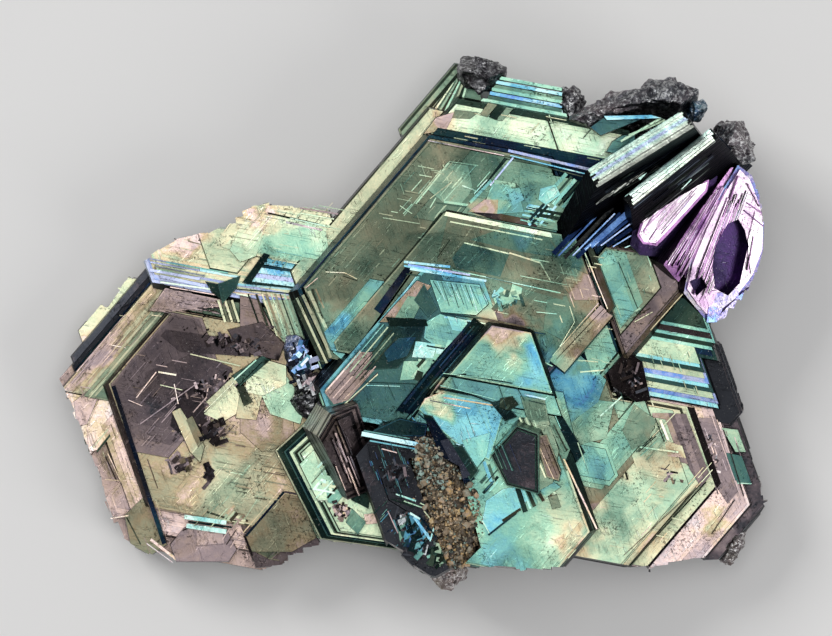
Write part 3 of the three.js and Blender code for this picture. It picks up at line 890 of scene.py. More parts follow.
plates([
    ((520, 170, 574, 180, 556, 204, 530, 208, 518, 190), 8.2, 8.43, 0.4, 0.6),
    ((492, 184, 516, 186, 520, 200, 529, 212, 497, 214, 484, 206), 8.2, 8.47, 0.36, 0.74, 0.04,
     (0.05, 1.5)),
    ((484, 200, 498, 200, 497, 214, 468, 212), 8.2, 8.49, 0.62, 0.62),
    ((507, 190, 519, 188, 524, 200, 512, 206), 8.2, 8.49, 0.34, 0.9),
    # a thin band painted near black along the plate's lower edge: a painted shadow line
    ((470, 212, 500, 214, 540, 222, 536, 227, 492, 219), 8.2, 8.44, 0.8, 0.1),
    ((494, 180, 516, 184, 514, 188, 494, 184), 8.2, 8.45, 0.44, 0.9),
])
strips([
    (543, 200, 566, 174, 0.22, 0.3, 0.8), (549, 203, 571, 177, 0.14, 0.36, 0.15),
    (553, 205, 575, 180, 0.22, 0.31, 1), (558, 206, 579, 182, 0.12, 0.36, 0.1),
    (562, 208, 583, 184, 0.2, 0.3, 0.7), (567, 209, 587, 186, 0.14, 0.35, 0.12),
    (572, 211, 590, 190, 0.16, 0.28, 0.6),
], 8.44, 0.03)
plates([
    ((540, 189, 555, 185, 560, 195, 546, 205, 538, 200), 8.2, 8.56, 0.27, 1.05),
    ((546, 192, 554, 188, 557, 195, 549, 200), 8.2, 8.64, 0.3, 1.15),
])
shards((524, 205, 545, 200, 562, 214, 548, 228, 528, 224), 8.40, 30, 0.30, 22,
       azimuths=(FALLING, FALLING, RISING), glow=(0.08, 0.9, 1.2), lift=0.24, length=(0.5, 1.6),
       width=(0.08, 0.22))
strips([
    (527, 206, 556, 212, 0.1, 0.28, 1.2), (526, 209, 554, 215, 0.06, 0.33, 0.06),
    (524, 211, 552, 217, 0.1, 0.3, 0.9), (522, 215, 550, 221, 0.12, 0.28, 1.1),
    (521, 218, 548, 224, 0.06, 0.3, 0.06), (520, 220, 546, 226, 0.08, 0.34, 0.8),
], 8.52, 0.012)
plates([((447, 163, 478, 167, 472, 186, 476, 206, 446, 205, 428, 190), 8, 8.2, 0.42, 0.6)])
strips([
    (449, 163, 416, 204, 0.1, 0.44, 1), (441, 170, 404, 216, 0.06, 0.46, 0.8),
    (449, 162, 478, 166, 0.06, 0.44, 0.8), (430, 199, 452, 182, 0.06, 0.56, 0.8),
    (462, 186, 478, 192, 0.08, 0.4, 1.3), (440, 196, 452, 182, 0.05, 0.46, 1),
    (436, 203, 470, 208, 0.08, 0.36, 0.25), (444, 202, 472, 206, 0.14, 0.4, 0.95),
    (446, 211, 468, 215, 0.14, 0.5, 0.06), (430, 208, 436, 198, 0.06, 0.44, 1.1),
    (400, 206, 412, 214, 0.05, 0.5, 1.1), (383, 218, 420, 224, 0.06, 0.5, 0.8),
], 8.22, 0.008)
strokes((400, 165), (470, 235), RISING, 24, 8.22, 0.46, 23, length=(0.3, 1.8), glow=(0.5, 1.1))
strokes((380, 165), (440, 240), FALLING, 12, 8.22, 0.50, 24, length=(0.2, 1.0), glow=(0.5, 1.1))
strokes((400, 165), (450, 225), STEEP, 8, 8.22, 0.50, 25, length=(0.2, 0.8), glow=(0.5, 1.1))
strokes((330, 240), (400, 300), RISING, 16, 8.14, 0.50, 26, length=(0.3, 1.2), glow=(0.35, 0.8))
strips([
    (326, 272, 345, 273, 0.05, 0.62, 1.4), (345, 273, 357, 279, 0.05, 0.62, 1.1),
    (343, 276, 358, 281, 0.05, 0.5, 0.08), (331, 346, 352, 318, 0.05, 0.5, 1),
    (350, 312, 388, 316, 0.06, 0.5, 0.8), (306, 288, 318, 278, 0.05, 0.8, 1),
], 8.18, 0.004)
plates([
    ((333, 352, 371, 305, 385, 308, 343, 360), 7.9, 8.24, 0.3, 0.95, 0.05, (0.1, 1.3)),
    ((343, 361, 386, 309, 392, 312, 349, 366), 7.9, 8.2, 0.3, 0.08),
])
bars([
    (294, 300, 324, 364, 0.24, 7.6, 0.5, 0.1), (297, 298, 327, 363, 0.14, 7.9, 0.6, 0.75),
    (300, 297, 329, 360, 0.12, 7.95, 0.5, 0.1), (303, 295, 332, 357, 0.18, 8.05, 0.62, 0.6),
    (306, 293, 334, 354, 0.08, 8.1, 0.5, 0.08), (309, 291, 337, 351, 0.2, 8.16, 0.6, 0.75),
    (312, 289, 323, 318, 0.1, 8.2, 0.55, 0.1), (316, 289, 324, 308, 0.1, 8.18, 0.7, 0.45),
], height=1.4)
plates([
    ((440, 213, 447, 213, 419, 248, 415, 246), 7.9, 8.24, 0.4, 0.1),
    ((428, 232, 446, 226, 452, 262, 410, 258), 7.9, 8.2, 0.32, 0.62),
])
tablet(MAIN, [7.1, 1.5, 1.3, 8.6, 7.8, 9.3], 7.9, 8.58, 0.50, 0.34, cut=0.0, slope=0.16,
       border=0.09, rim=(0.10, 2.0))
tablet(MAIN, [6.8, 1.2, 0.9, 8.0, 7.6, 8.6], 8.4, 8.62, 0.48, 0.33, cut=0.1, slope=0.03)
plates([
    ((448, 216, 546, 237, 572, 262, 562, 300, 500, 282, 437, 262), 8.4, 8.66, 0.56, 0.28),
], slope=0.03)
plates([((446, 212, 550, 233, 552, 238, 444, 216), 8.2, 8.72, 0.58, 1.25)])
plates([
    ((500, 229, 548, 238, 560, 258, 520, 252, 470, 240), 8.4, 8.68, 0.40, 0.34),
    ((464, 243, 509, 254, 500, 277, 456, 268, 452, 258), 8.4, 8.69, 0.38, 0.28),
    ((509, 254, 540, 263, 550, 281, 536, 284, 500, 277), 8.4, 8.70, 0.60, 0.30),
], slope=0.01)
strips([
    (450, 222, 542, 240, 0.08, 0.56, 1), (464, 243, 509, 254, 0.08, 0.58, 1.15),
    (509, 253, 540, 263, 0.09, 0.66, 1), (540, 263, 550, 281, 0.06, 0.58, 0.9),
    (437, 258, 450, 240, 0.05, 0.5, 0.1),
], 8.72, 0.004)
strips([
    (404, 262, 450, 267, 0.14, 0.2, 1.5), (408, 265, 470, 275, 0.12, 0.03, 1.3),
    (404, 266, 452, 274, 0.1, 0.16, 1.3), (410, 269, 486, 281, 0.14, 0.22, 1.5),
    (406, 274, 440, 279, 0.06, 0.3, 0.2), (452, 270, 560, 293, 0.06, 0.4, 1.25),
    (520, 276, 566, 285, 0.04, 0.5, 1.1), (536, 312, 556, 314, 0.05, 0.36, 1.2),
    (486, 277, 512, 283, 0.04, 0.3, 0.1),
], 8.74, 0.008)
shards((484, 286, 515, 282, 535, 300, 510, 318, 478, 314), 8.64, 60, 0.36, 27,
       glow=(0.10, 0.45, 0.8, 1.1), lift=0.20, length=(0.2, 0.9), width=(0.06, 0.28),
       azimuths=(RISING, STEEP, 20, FALLING, 75))
plates([
    ((512, 284, 522, 288, 520, 300, 508, 298), 8.5, 8.8, 0.4, 0.9),
    ((546, 300, 566, 296, 575, 318, 562, 340, 543, 330), 8.5, 8.66, 0.42, 0.4),
    ((572, 268, 590, 276, 598, 300, 574, 300, 560, 284), 8.5, 8.67, 0.6, 0.44),
])
strokes((556, 262), (604, 320), STEEP, 18, 8.68, 0.58, 28, length=(0.2, 1.0), glow=(0.5, 1.1))
strokes((530, 250), (600, 320), FALLING, 14, 8.70, 0.54, 29, length=(0.2, 1.2), glow=(0.5, 1.1))
strokes((440, 290), (560, 350), FALLING, 16, 8.66, 0.40, 30, length=(0.2, 1.2), glow=(0.5, 1.1))
plates([((606, 312, 612, 316, 564, 372, 552, 362), 8.0, 8.70, 0.72, 0.50)], slope=0.1)
plates([((600, 305, 606, 311, 555, 365, 549, 360), 8, 8.74, 0.68, 0.62)])
strips([
    (603, 309, 556, 359, 0.05, 0.7, 0.08), (598, 303, 552, 356, 0.05, 0.7, 1),
    (574, 322, 559, 347, 0.05, 0.58, 1.1), (569, 306, 574, 322, 0.05, 0.58, 1),
    (583, 250, 607, 309, 0.06, 0.6, 1.3), (579, 252, 603, 308, 0.05, 0.7, 0.12),
    (570, 247, 583, 252, 0.05, 0.4, 1.2), (540, 360, 552, 366, 0.07, 0.7, 1.1),
], 8.76, 0.004)
plates([((586, 246, 592, 248, 614, 306, 608, 314), 7.6, 8.60, 0.60, 0.08)], slope=0.1)
stack(MAIN, [
    (9, -3.2, 2.1, 8.95, 7.8, 9, 7.9, 8.3, 0.26, 0.75, 0.5, 0.1),
    (9, -4.6, 1.5, 8.9, 7.8, 9, 8, 8.5, 0.28, 0.8, 0.55, 0.1),
])
plates([
    ((590, 128, 604, 118, 640, 120, 660, 112, 652, 124, 628, 134, 600, 136), 8.4, 9.3, 0.24, 0.3),
    ((603, 117, 650, 116, 660, 119, 606, 121), 9, 9.9, 0.2, 1.3),
    ((606, 152, 612, 142, 622, 136, 634, 135, 634, 142, 616, 154), 7, 8.4, 0.26, 0.45),
])
for number, (film, glow) in enumerate(
        [(0.46, 1.1), (0.4, 0.15), (0.42, 1.0), (0.3, 0.1), (0.48, 0.9)]):
    bar((620 + 2 * number, 142 - 1.5 * number), (660 + number, 119 + 0.5 * number), 0.13, 9.4,
        film, glow, height=1.0)
strokes((440, 105), (625, 160), FALLING, 16, 6.90, 0.58, 36, length=(0.3, 1.6), glow=(0.5, 1.2))
strokes((500, 110), (620, 160), RISING, 12, 6.90, 0.56, 37, length=(0.2, 1.0), glow=(0.2, 1.2))
open_crust_seat()
join_crystal("main_crystal", TARNISHED, "crystal_cluster")

# ---------------------------------------------------------------- the inner crystal
# Grown on the main crystal's front slope: a dark teal tablet with a wide sloping back edge, and
# a broken pale corner.

INNER = (-0.9, -0.9)

pile(INNER, [5.8, 3.8, 1.6, 5.9, 5.1, 8.6], 0.9, 6.4, 0.6, 32, stagger=0.35, glow=0.5)
pile(INNER, [5.9, 4.3, 1.75, 5.7, 5.2, 9.0], 6.2, 8.4, 0.4, 33, thickness=0.28, stagger=0.15,
     slope=0.12)
tablet(INNER, [5.9, 4.4, 1.7, 5.5, 5.2, 9.0], 7.4, 8.7, 0.24, 0.75, cut=0.02,
       slope=[0.3, 0.3, 0.7, 0.3, 0.2, 0.3], border=0.12, rim=(0.0, 1.2))
shards((284, 342, 306, 334, 320, 362, 308, 392, 288, 376), 7.0, 90, 0.07, 35,
       azimuths=(RISING, 20, 75, STEEP), glow=(0.03, 0.12, 0.6, 1.5), lift=0.7, length=(0.3, 1.1),
       width=(0.08, 0.34), sink=4.0)
shards((286, 366, 322, 362, 330, 386, 312, 398, 298, 392), 6.7, 80, 0.98, 36,
       azimuths=(RISING, 20, 75, STEEP), glow=(0.1, 0.3, 1.3, 2.0), lift=0.6, length=(0.2, 0.8),
       width=(0.06, 0.25), sink=4.0)
bar((345, 366), (412, 272), 0.12, 8.62, 0.02, 0.9, height=0.8)
bar((349, 370), (416, 277), 0.06, 8.72, 0.20, 1.3)
plates([((374, 309, 406, 266, 412, 269, 381, 314), 8, 8.66, 0.02, 0.1)])
tablet(INNER, [3.6, 4.2, 1.5, 5.2, 4.9, 4.5], 8.5, 8.95, 0.28, 0.30, cut=0.45, slope=0.08)
plates([
    ((417, 281, 431, 286, 403, 322, 380, 322), 8.8, 9.06, 0.74, 0.52, 0.04),
    ((408, 296, 424, 298, 414, 318, 395, 318), 8.8, 9.08, 0.44, 0.62),
    ((424, 284, 437, 309, 428, 317, 414, 300), 8.8, 9.12, 0.3, 0.22, 0.04, (0, 1.8)),
    ((430, 280, 479, 285, 488, 304, 476, 315, 441, 312), 8.8, 9.16, 0.34, 0.92, 0.05, (0, 1.3)),
])
for number in range(16):
    start = (433 + 3.1 * number + (number * 7) % 3, 281 + 0.4 * number)
    bar(start, (start[0] + 8, start[1] + 14 + (number * 5) % 14), 0.04, 9.20, 0.28,
        (0.12, 1.5, 0.25, 0.6, 1.3)[number % 5], height=0.2)
strips([
    (441, 313, 492, 320, 0.1, 0.22, 0.12), (444, 317, 500, 326, 0.08, 0.2, 1.4),
    (470, 316, 530, 328, 0.1, 0.3, 0.25), (486, 322, 535, 331, 0.07, 0.22, 1.5),
    (492, 326, 545, 334, 0.07, 0.3, 0.1),
], 9.14, 0.01)
# A pocket painted dark: painted shade over its faces, with a painted highlight along one rim.
plates([
    ((386, 317, 426, 320, 428, 326, 390, 326), 8.8, 9.14, 0.35, 0.06),
    ((390, 324, 426, 324, 419, 345, 398, 368, 364, 370), 8.8, 9.02, 0.3, 0.11, 0.05, (0, 2.2)),
    ((399, 338, 416, 337, 407, 356, 388, 362, 384, 352), 8.8, 9.05, 0.17, 0.2),
    ((372, 352, 390, 334, 392, 342, 376, 362), 8.8, 9.06, 0.4, 0.2),
])
strips([
    (350, 372, 388, 327, 0.08, 0.55, 0.9), (353, 376, 392, 330, 0.05, 0.5, 0.1),
    (356, 378, 394, 333, 0.07, 0.56, 0.7), (345, 370, 384, 324, 0.05, 0.34, 1.2),
    (360, 380, 397, 337, 0.06, 0.5, 0.12),
], 9.08, 0.01)
plates([((325, 392, 360, 352, 372, 352, 376, 368, 348, 400, 334, 404), 8.4, 8.98, 0.82, 0.5)])
strips([
    (326, 391, 361, 351, 0.1, 0.8, 1.2), (330, 395, 366, 354, 0.06, 0.84, 0.25),
    (333, 398, 370, 357, 0.07, 0.8, 0.9), (337, 400, 372, 362, 0.05, 0.84, 0.2),
    (342, 402, 376, 366, 0.06, 0.78, 0.7), (350, 402, 378, 372, 0.05, 0.84, 0.2),
    (340, 408, 378, 374, 0.06, 0.62, 1.1), (366, 382, 425, 384, 0.05, 0.3, 0.1),
    (366, 385, 400, 386, 0.04, 0.3, 1.3), (388, 384, 395, 400, 0.03, 0.3, 0.15),
], 9.02, 0.008)
plates([
    ((356, 384, 430, 385, 410, 410, 385, 425, 360, 410), 8.4, 8.86, 0.22, 0.72),
    ((426, 322, 440, 314, 459, 321, 463, 338, 441, 349, 424, 338), 8.7, 9.1, 0.36, 0.95, 0.05,
     (-0.1, 1.3)),
    ((447, 316, 466, 320, 470, 333, 452, 330), 8.7, 9.16, 0.33, 1.35),
    ((416, 341, 437, 344, 433, 358, 412, 357), 8.7, 9.12, 0.28, 1.3),
    ((404, 361, 432, 361, 426, 378, 400, 380), 8.7, 9.06, 0.4, 0.85),
])
shards((412, 335, 470, 320, 462, 350, 425, 380, 398, 382), 8.95, 22, 0.34, 34,
       glow=(0.10, 0.9, 1.2), lift=0.28, azimuths=(RISING, FALLING, 70))
# A raised band painted near black, with dark strips on it: painted shade for the deep gap between
# this crystal and the front one.
plates([((474, 318, 486, 327, 412, 414, 396, 410, 442, 352), 8.2, 9.24, 0.13, 0.035)])
strips([
    (470, 322, 404, 404, 0.14, 0.1, 0.12), (478, 326, 408, 410, 0.1, 0.16, 0.1),
    (482, 330, 430, 388, 0.06, 0.2, 0.45), (474, 326, 440, 366, 0.08, 0.1, 0.2),
    (456, 352, 420, 394, 0.1, 0.05, 0.08),
], 9.26, 0.006)
open_crust_seat()
join_crystal("inner_crystal", TARNISHED, "crystal_cluster")

# ---------------------------------------------------------------- the front crystal
# The highest flat tablet, blue and mint, broken off along the front. A smaller one steps up
# behind it, with a thin pink rim.

FRONT = (5.1, -6.3)

pile(FRONT, [7.4, 4.6, 4.2, 6.9, 8.0, 7.4], 0.6, 6.6, 0.6, 41, stagger=0.5, glow=0.5)
plates([
    ((546, 338, 568, 344, 606, 380, 598, 402, 566, 426, 548, 402), 6.2, 6.93, 0.34, 0.66),
    ((566, 424, 598, 400, 614, 402, 606, 438, 574, 446), 6.2, 6.9, 0.46, 0.72),
])
pile(FRONT, [3.2, 4.8, 4.8, 7.6, 8.3, 8.1], 6.5, 9.2, 0.4, 42, thickness=0.28, stagger=0.25,
     slope=0.12)
tablet(FRONT, [3.0, 4.8, 4.4, 7.4, 8.2, 8.0], 8.2, 9.6, 0.40, 0.86, cut=0.0,
       slope=[0.6, 0.3, 0.6, 0.35, 0.2, 0.3], border=0.10, rim=(0.30, 1.1))
steps(FRONT, [2.9, 4.8, 4.4, 7.4, 8.2, 7.9], 9.6, 3, 0.38, 43, back=(5,), step=0.25, glow=0.86)
strips([
    (563, 458, 596, 528, 0.1, 0.72, 1.2), (557, 450, 566, 470, 0.06, 0.7, 0.15),
    (548, 400, 560, 428, 0.06, 0.3, 0.9), (577, 442, 584, 462, 0.06, 0.5, 0.9),
], 9.78, 0.01)
plates([((444, 375, 562, 392, 574, 438, 556, 480, 470, 470, 414, 418), 9.3, 9.72, 0.4, 0.55)])
tablet(FRONT, [3.7, 6.0, 4.4, 6.3, -1.5, 4.8], 9.2, 10.0, 0.30, 0.70, cut=0.06,
       slope=[0.2, 0.2, 0.4, 0.25, 0.3, 0.2])
tablet(FRONT, [3.65, 6.05, 4.45, 6.7, -2.7, 4.8], 9.8, 10.3, 0.36, 0.85, cut=0.0,
       slope=[0.2, 0.2, 0.3, 0.2, 0.2, 0.2], border=0.08, rim=(0.30, 0.95))
strips([
    (441, 376, 466, 374, 0.1, 0.3, 0.06), (466, 375, 512, 383, 0.07, 0.3, 0.08),
    (438, 388, 470, 394, 0.16, 0.3, 0.04), (470, 394, 492, 402, 0.1, 0.3, 0.05),
    (440, 385, 495, 399, 0.04, 0.36, 1.2), (443, 373, 506, 380, 0.04, 0.4, 1.2),
    (498, 384, 506, 408, 0.04, 0.3, 0.12), (516, 387, 524, 400, 0.04, 0.3, 0.12),
    (545, 338, 570, 400, 0.04, 0.3, 0.1), (548, 366, 575, 424, 0.04, 0.3, 0.12),
    (452, 378, 456, 388, 0.03, 0.3, 0.2), (540, 335, 548, 352, 0.03, 0.5, 1.2),
], 10.36, 0.004)
plates([
    ((425, 398, 440, 392, 492, 402, 503, 414, 486, 470, 455, 442, 412, 420), 9.5, 10.02, 0.24, 1.05,
     0.06, (0.4, 0.9)),
])
strips([
    (443, 397, 494, 405, 0.09, 0.74, 1), (430, 400, 470, 408, 0.06, 0.76, 1.2),
    (466, 412, 482, 456, 0.03, 0.3, 0.2), (476, 404, 496, 448, 0.03, 0.34, 1),
    (485, 412, 492, 432, 0.04, 0.34, 1.2), (418, 413, 426, 420, 0.08, 0.2, 0.12),
    (412, 417, 420, 425, 0.05, 0.2, 1.1),
], 10.06, 0.006)
plates([
    ((462, 440, 490, 432, 486, 455, 474, 470), 9.8, 10.1, 0.32, 1.1),
    ((490, 402, 500, 400, 516, 416, 505, 420), 9.8, 10.2, 0.3, 0.05),
    ((500, 398, 512, 396, 518, 404, 508, 410, 499, 407), 9.8, 10.35, 0.5, 0.07),
    ((520, 396, 544, 400, 548, 420, 528, 422), 9.8, 10.22, 0.45, 0.35, 0.05, (0, 1.8)),
])
strips([
    (524, 394, 545, 399, 0.1, 0.24, 1.5), (528, 400, 545, 404, 0.05, 0.3, 0.1),
], 10.3)
plates([((521, 418, 548, 420, 558, 450, 552, 482, 538, 490, 520, 440), 9.8, 10.2, 0.5, 0.55)])
strips([
    (519, 417, 545, 477, 0.1, 0.58, 1.1), (522, 417, 549, 478, 0.07, 0.5, 0.1),
    (525, 417, 551, 475, 0.12, 0.54, 0.9), (529, 419, 546, 458, 0.06, 0.5, 0.12),
    (533, 420, 552, 462, 0.12, 0.48, 0.7), (529, 436, 536, 438, 0.1, 0.24, 1.3),
    (540, 430, 560, 470, 0.12, 0.48, 0.08), (549, 424, 562, 452, 0.1, 0.45, 0.5),
    (553, 424, 566, 450, 0.08, 0.5, 0.08),
], 10.3, rise=0, height=0.6)
plates([
    ((535, 436, 546, 434, 560, 470, 558, 480, 546, 476), 10, 10.36, 0.76, 0.3, 0.06, (-0.3, 1.8)),
])
strips([
    (536, 440, 553, 478, 0.04, 0.72, 1.1), (541, 438, 556, 474, 0.04, 0.8, 0.1),
    (548, 444, 560, 474, 0.08, 0.8, 0.06),
], 10.38)
plates([
    ((503, 488, 520, 486, 526, 500, 512, 516, 490, 532, 482, 520, 486, 500), 9.5, 9.86, 0.26, 1.05,
     0.05, (-0.04, 1.2)),
])
strips([
    (482, 520, 490, 534, 0.06, 0.45, 1.3), (488, 534, 516, 512, 0.12, 0.2, 0.1),
    (502, 520, 520, 508, 0.16, 0.6, 0.08),
], 9.88)
for start, width, film, glow in [
        (517, 0.30, 0.3, 0.06), (522, 0.14, 0.3, 1.2), (526, 0.22, 0.5, 0.06),
        (531, 0.12, 0.4, 0.9), (535, 0.20, 0.6, 0.06), (539, 0.14, 0.3, 1.1),
        (543, 0.14, 0.5, 0.08), (547, 0.12, 0.34, 1.2)]:
    bar((start, 487), (start + 8, 487 + 24 - (start - 517) * 0.6), width, 9.98, film, glow,
        height=0.5)
plates([
    ((532, 482, 548, 478, 560, 486, 546, 496), 9.6, 10.05, 0.3, 0.85),
    ((548, 496, 556, 494, 560, 506, 552, 508), 9.6, 9.98, 0.35, 0.4),
    ((547, 404, 556, 406, 584, 452, 575, 462, 560, 430), 8.8, 9.74, 0.2, 0.05),
])
strokes((480, 530), (590, 566), RISING, 10, 9.76, 0.42, 44, length=(0.3, 1.0), glow=(0.8, 1.2))
shards((486, 452, 478, 468, 486, 500, 500, 500, 496, 460), 9.5, 22, 0.28, 45,
       azimuths=(STEEP, STEEP, RISING), glow=(0.08, 0.25, 0.9), lift=0.5, width=(0.06, 0.2),
       length=(0.5, 1.6))
ragged_break((478, 566, 505, 569, 540, 570, 570, 568, 600, 568), 270, 46, bite=0.25)
open_crust_seat()
join_crystal("front_crystal", TARNISHED, "crystal_cluster")

# ---------------------------------------------------------------- the small east crystal
# A thin tablet behind the right-hand one, with sharp steps along two of its sides, painted dark as
# shade.

EAST = (13.5, 1.5)

pile(EAST, [2.8, 2.9, 3.6, 2.1, 3.6, 1.7], 2.0, 7.0, 0.55, 51, thickness=0.25, stagger=0.15)
stack(EAST, [
    (2.8, 2.9, 3.6, 2.1, 3.6, 1.72, 6.7, 7.3, 0.72, 0.16, 0, [0.15, 0.15, 0.15, 0.2, 0.15, 0.25]),
    (2.55, 2.8, 3.5, 1.9, 3.5, 1.42, 7.2, 7.38, 0.84, 0.42, 0.4),
    (2.4, 2.75, 3.5, 1.9, 3.5, 1.3, 7.2, 7.43, 0.8, 0.36, 0),
    (1.42, 2.7, 3.6, 1.86, 3, 0.49, 7.3, 7.47, 0.5, 0.05, 0),
    (1.34, 2.7, 3.6, 1.8, 2.7, 0.42, 7.3, 7.6, 0.52, 0.46, 0.3, 0.04),
    (0.1, 2.6, 3.5, 1.72, 2.6, 0.2, 7.5, 7.64, 0.38, 0.72, 0.1, 0.02),
    (-0.6, 2.5, 3.5, 1.6, 2.6, 0.1, 7.5, 7.68, 0.34, 0.85, 0.2, 0.02),
    (-2.1, 3.6, 3.6, 4.5, 5.4, 1.3, 2, 6.7, 0.45, 0.6),
    (-2.25, 3.5, 3.5, 4.3, 5.2, 1.1, 6.6, 6.74, 0.5, 0.08, 0),
    (-2.4, 3.5, 3.5, 4.2, 5, 1, 6.6, 6.95, 0.38, 0.85, 0.3),
])
strips([
    (596, 262, 627, 335, 0.06, 0.6, 1), (600, 258, 631, 331, 0.05, 0.5, 0.08),
    (604, 256, 622, 300, 0.05, 0.4, 1), (578, 360, 598, 362, 0.06, 0.55, 1.1),
    (580, 372, 604, 370, 0.08, 0.6, 1.1), (598, 300, 604, 318, 0.05, 0.34, 1.1),
], 6.98, 0.004)
plates([((600, 268, 618, 262, 622, 284, 610, 296, 604, 286), 7.5, 7.72, 0.34, 0.75)])
strips([
    (640, 249, 664, 252, 0.06, 0.3, 1), (618, 262, 640, 315, 0.05, 0.4, 0.15),
    (684, 292, 650, 330, 0.06, 0.66, 0.8), (678, 290, 648, 324, 0.05, 0.66, 0.12),
], 7.7, 0.003)
strokes((596, 258), (650, 320), STEEP, 14, 7.74, 0.44, 52, length=(0.2, 0.9), glow=(0.5, 1.1))
strokes((575, 300), (625, 370), FALLING, 16, 7.02, 0.48, 53, length=(0.2, 0.9), glow=(0.6, 1.1))
strips([
    (632, 318, 650, 308, 0.06, 0.7, 0.12), (634, 322, 652, 312, 0.05, 0.62, 1),
    (634, 312, 640, 308, 0.1, 0.5, 0.9),
], 7.7)
join_crystal("east_crystal", TARNISHED, "crystal_cluster")

# ---------------------------------------------------------------- the right-hand crystal
# A mint and peach tablet that steps down in nested corners to a grey, broken rim; narrow treads
# climb away from it at the back.

RIGHT = (14.7, -9.3)
STAIRS = (15.6, -2.7)

tablet(RIGHT, [4.4, 5.8, 5.2, 5.6, 4.0, 4.4], 0.0, 1.2, 0.85, 0.2, slope=-0.3)
pile(RIGHT, [5.8, 9.0, 9.0, 9.0, 5.4, 6.0], 0.8, 3.6, 0.8, 61, stagger=0.4, glow=0.4)
tablet(RIGHT, [5.6, 8.8, 9.0, 9.0, 5.4, 5.8], 3.4, 3.8, 0.96, 0.42, cut=0.1, slope=0.2)
pile(RIGHT, [4.7, 4.9, 9.0, 9.0, 5.4, 5.15], 3.6, 4.6, 0.78, 62, thickness=0.2, stagger=0.12)
tablet(RIGHT, [4.6, 4.8, 9.0, 9.0, 5.4, 5.1], 4.4, 4.8, 0.83, 1.05, cut=0.0, slope=0.12,
       border=0.12, rim=(-0.05, 1.3))
steps(RIGHT, [4.6, 4.8, 9.0, 9.0, 5.4, 5.1], 4.8, 4, 0.83, 63, back=(0, 5), step=0.3, glow=1.0,
      drift=-0.01)
stack(RIGHT, [
    (3.4, 4.6, 9, 9, 5.3, 2.95, 4.7, 5.1, 0.9, 0.05, 0, 0.05),
    (3, 4.6, 9, 9, 5.3, 2.8, 4.7, 5.3, 0.58, 0.98, 0, 0.04),
    (2.9, 4.6, 9, 9, 5.4, 2.05, 5.2, 5.36, 0.62, 0.9, 0, 0.02),
    (2.6, 4.4, 9, 9, 5.4, 1.98, 5.2, 5.6, 0.6, 0.1, 0, 0.12),
])
tablet(RIGHT, [2.5, 4.3, 9.0, 9.0, 5.4, 1.9], 5.2, 5.9, 0.60, 1.0, cut=0.0, slope=0.05,
       border=0.14, rim=(0.10, 0.85))
tablet(RIGHT, [2.1, 4.2, 9.0, 9.0, 5.4, 1.6], 5.7, 6.0, 0.50, 0.92, cut=0.1)
plates([((668, 413, 686, 414, 710, 476, 701, 487, 690, 470), 5.2, 6.06, 0.87, 0.42)], slope=0.02)
plates([
    ((674, 414, 680, 414, 703, 477, 698, 482), 5.2, 6.12, 0.84, 0.52),
    ((652, 413, 668, 413, 688, 464, 672, 460, 660, 444), 5.2, 6.1, 0.74, 0.55),
    ((664, 440, 682, 446, 686, 458, 668, 456), 5.2, 6.26, 0.6, 0.95, 0.04),
])
stack(RIGHT, [
    (1.5, 3.6, 9, 9, 5.4, 1.5, 5.8, 6.2, 0.52, 0.95, 0.04),
    (1.1, 3.2, 9, 9, 5.4, 1.46, 6.1, 6.24, 0.5, 0.98, 0.1, 0.02),
])
shards((655, 455, 690, 462, 688, 492, 660, 500, 650, 476), 6.12, 46, 0.76, 78,
       glow=(0.25, 0.6, 0.9), lift=0.16, length=(0.1, 0.5), width=(0.05, 0.2),
       azimuths=ALL_WAYS)
strips([
    (624, 555, 700, 484, 0.05, 0.62, 0.25), (630, 565, 706, 482, 0.08, 0.5, 0.06),
    (652, 562, 712, 492, 0.04, 0.5, 0.12),
], 6.26, 0.004)
plates([((582, 447, 610, 442, 624, 474, 614, 484, 594, 486), 6.1, 6.38, 0.57, 0.95)], slope=0.02)
for number, (film, glow) in enumerate(
        [(0.5, 0.08), (0.6, 1.1), (0.5, 0.08), (0.55, 1.0), (0.5, 0.06)]):
    bar((608 + 3.0 * number, 446 + 2 * number), (618 + 2.4 * number, 474 + 1.4 * number), 0.12,
        6.42, film, glow)
bar((586, 447), (611, 443), 0.08, 6.42, 0.55, 1.2)
stack(RIGHT, [
    (0.7, 4.8, 4.2, 5.4, 1.2, -2.3, 6, 6.7, 0.46, 0.8, 0.1, 0.1),
    (0.4, 4.6, 4.2, 5.3, 0.9, -2.6, 6.6, 6.76, 0.42, 0.8, 0.1, 0.02),
])
plates([((634, 404, 656, 420, 648, 440, 632, 450, 622, 430), 6.7, 6.84, 0.52, 0.50)], slope=0.01)
strips([
    (664, 434, 640, 456, 0.06, 0.42, 0.9), (660, 430, 636, 452, 0.05, 0.46, 0.2),
    (666, 440, 646, 460, 0.06, 0.46, 0.8),
], 6.86, 0.004)
stack(RIGHT, [
    (-2.3, 1.5, 5.4, 5.4, 0.9, -2.1, 6.3, 6.86, 0.4, 0.95, 0.5, 0.1),
    (-2.5, 1.2, 5.4, 5.4, 0.6, -2.3, 6.7, 6.96, 0.34, 0.92, 0),
])
strips([
    (597, 412, 618, 392, 0.05, 0.3, 0.1), (600, 416, 622, 396, 0.08, 0.44, 1.3),
    (618, 384, 624, 404, 0.05, 0.3, 0.12), (592, 394, 608, 380, 0.08, 0.44, 1.2),
    (640, 447, 678, 452, 0.1, 0.5, 1.2), (652, 437, 676, 412, 0.05, 0.6, 1),
    (660, 420, 668, 440, 0.14, 0.74, 1.5), (655, 418, 664, 442, 0.06, 0.4, 0.08),
    (638, 452, 656, 436, 0.05, 0.5, 0.1),
], 7, 0.004)
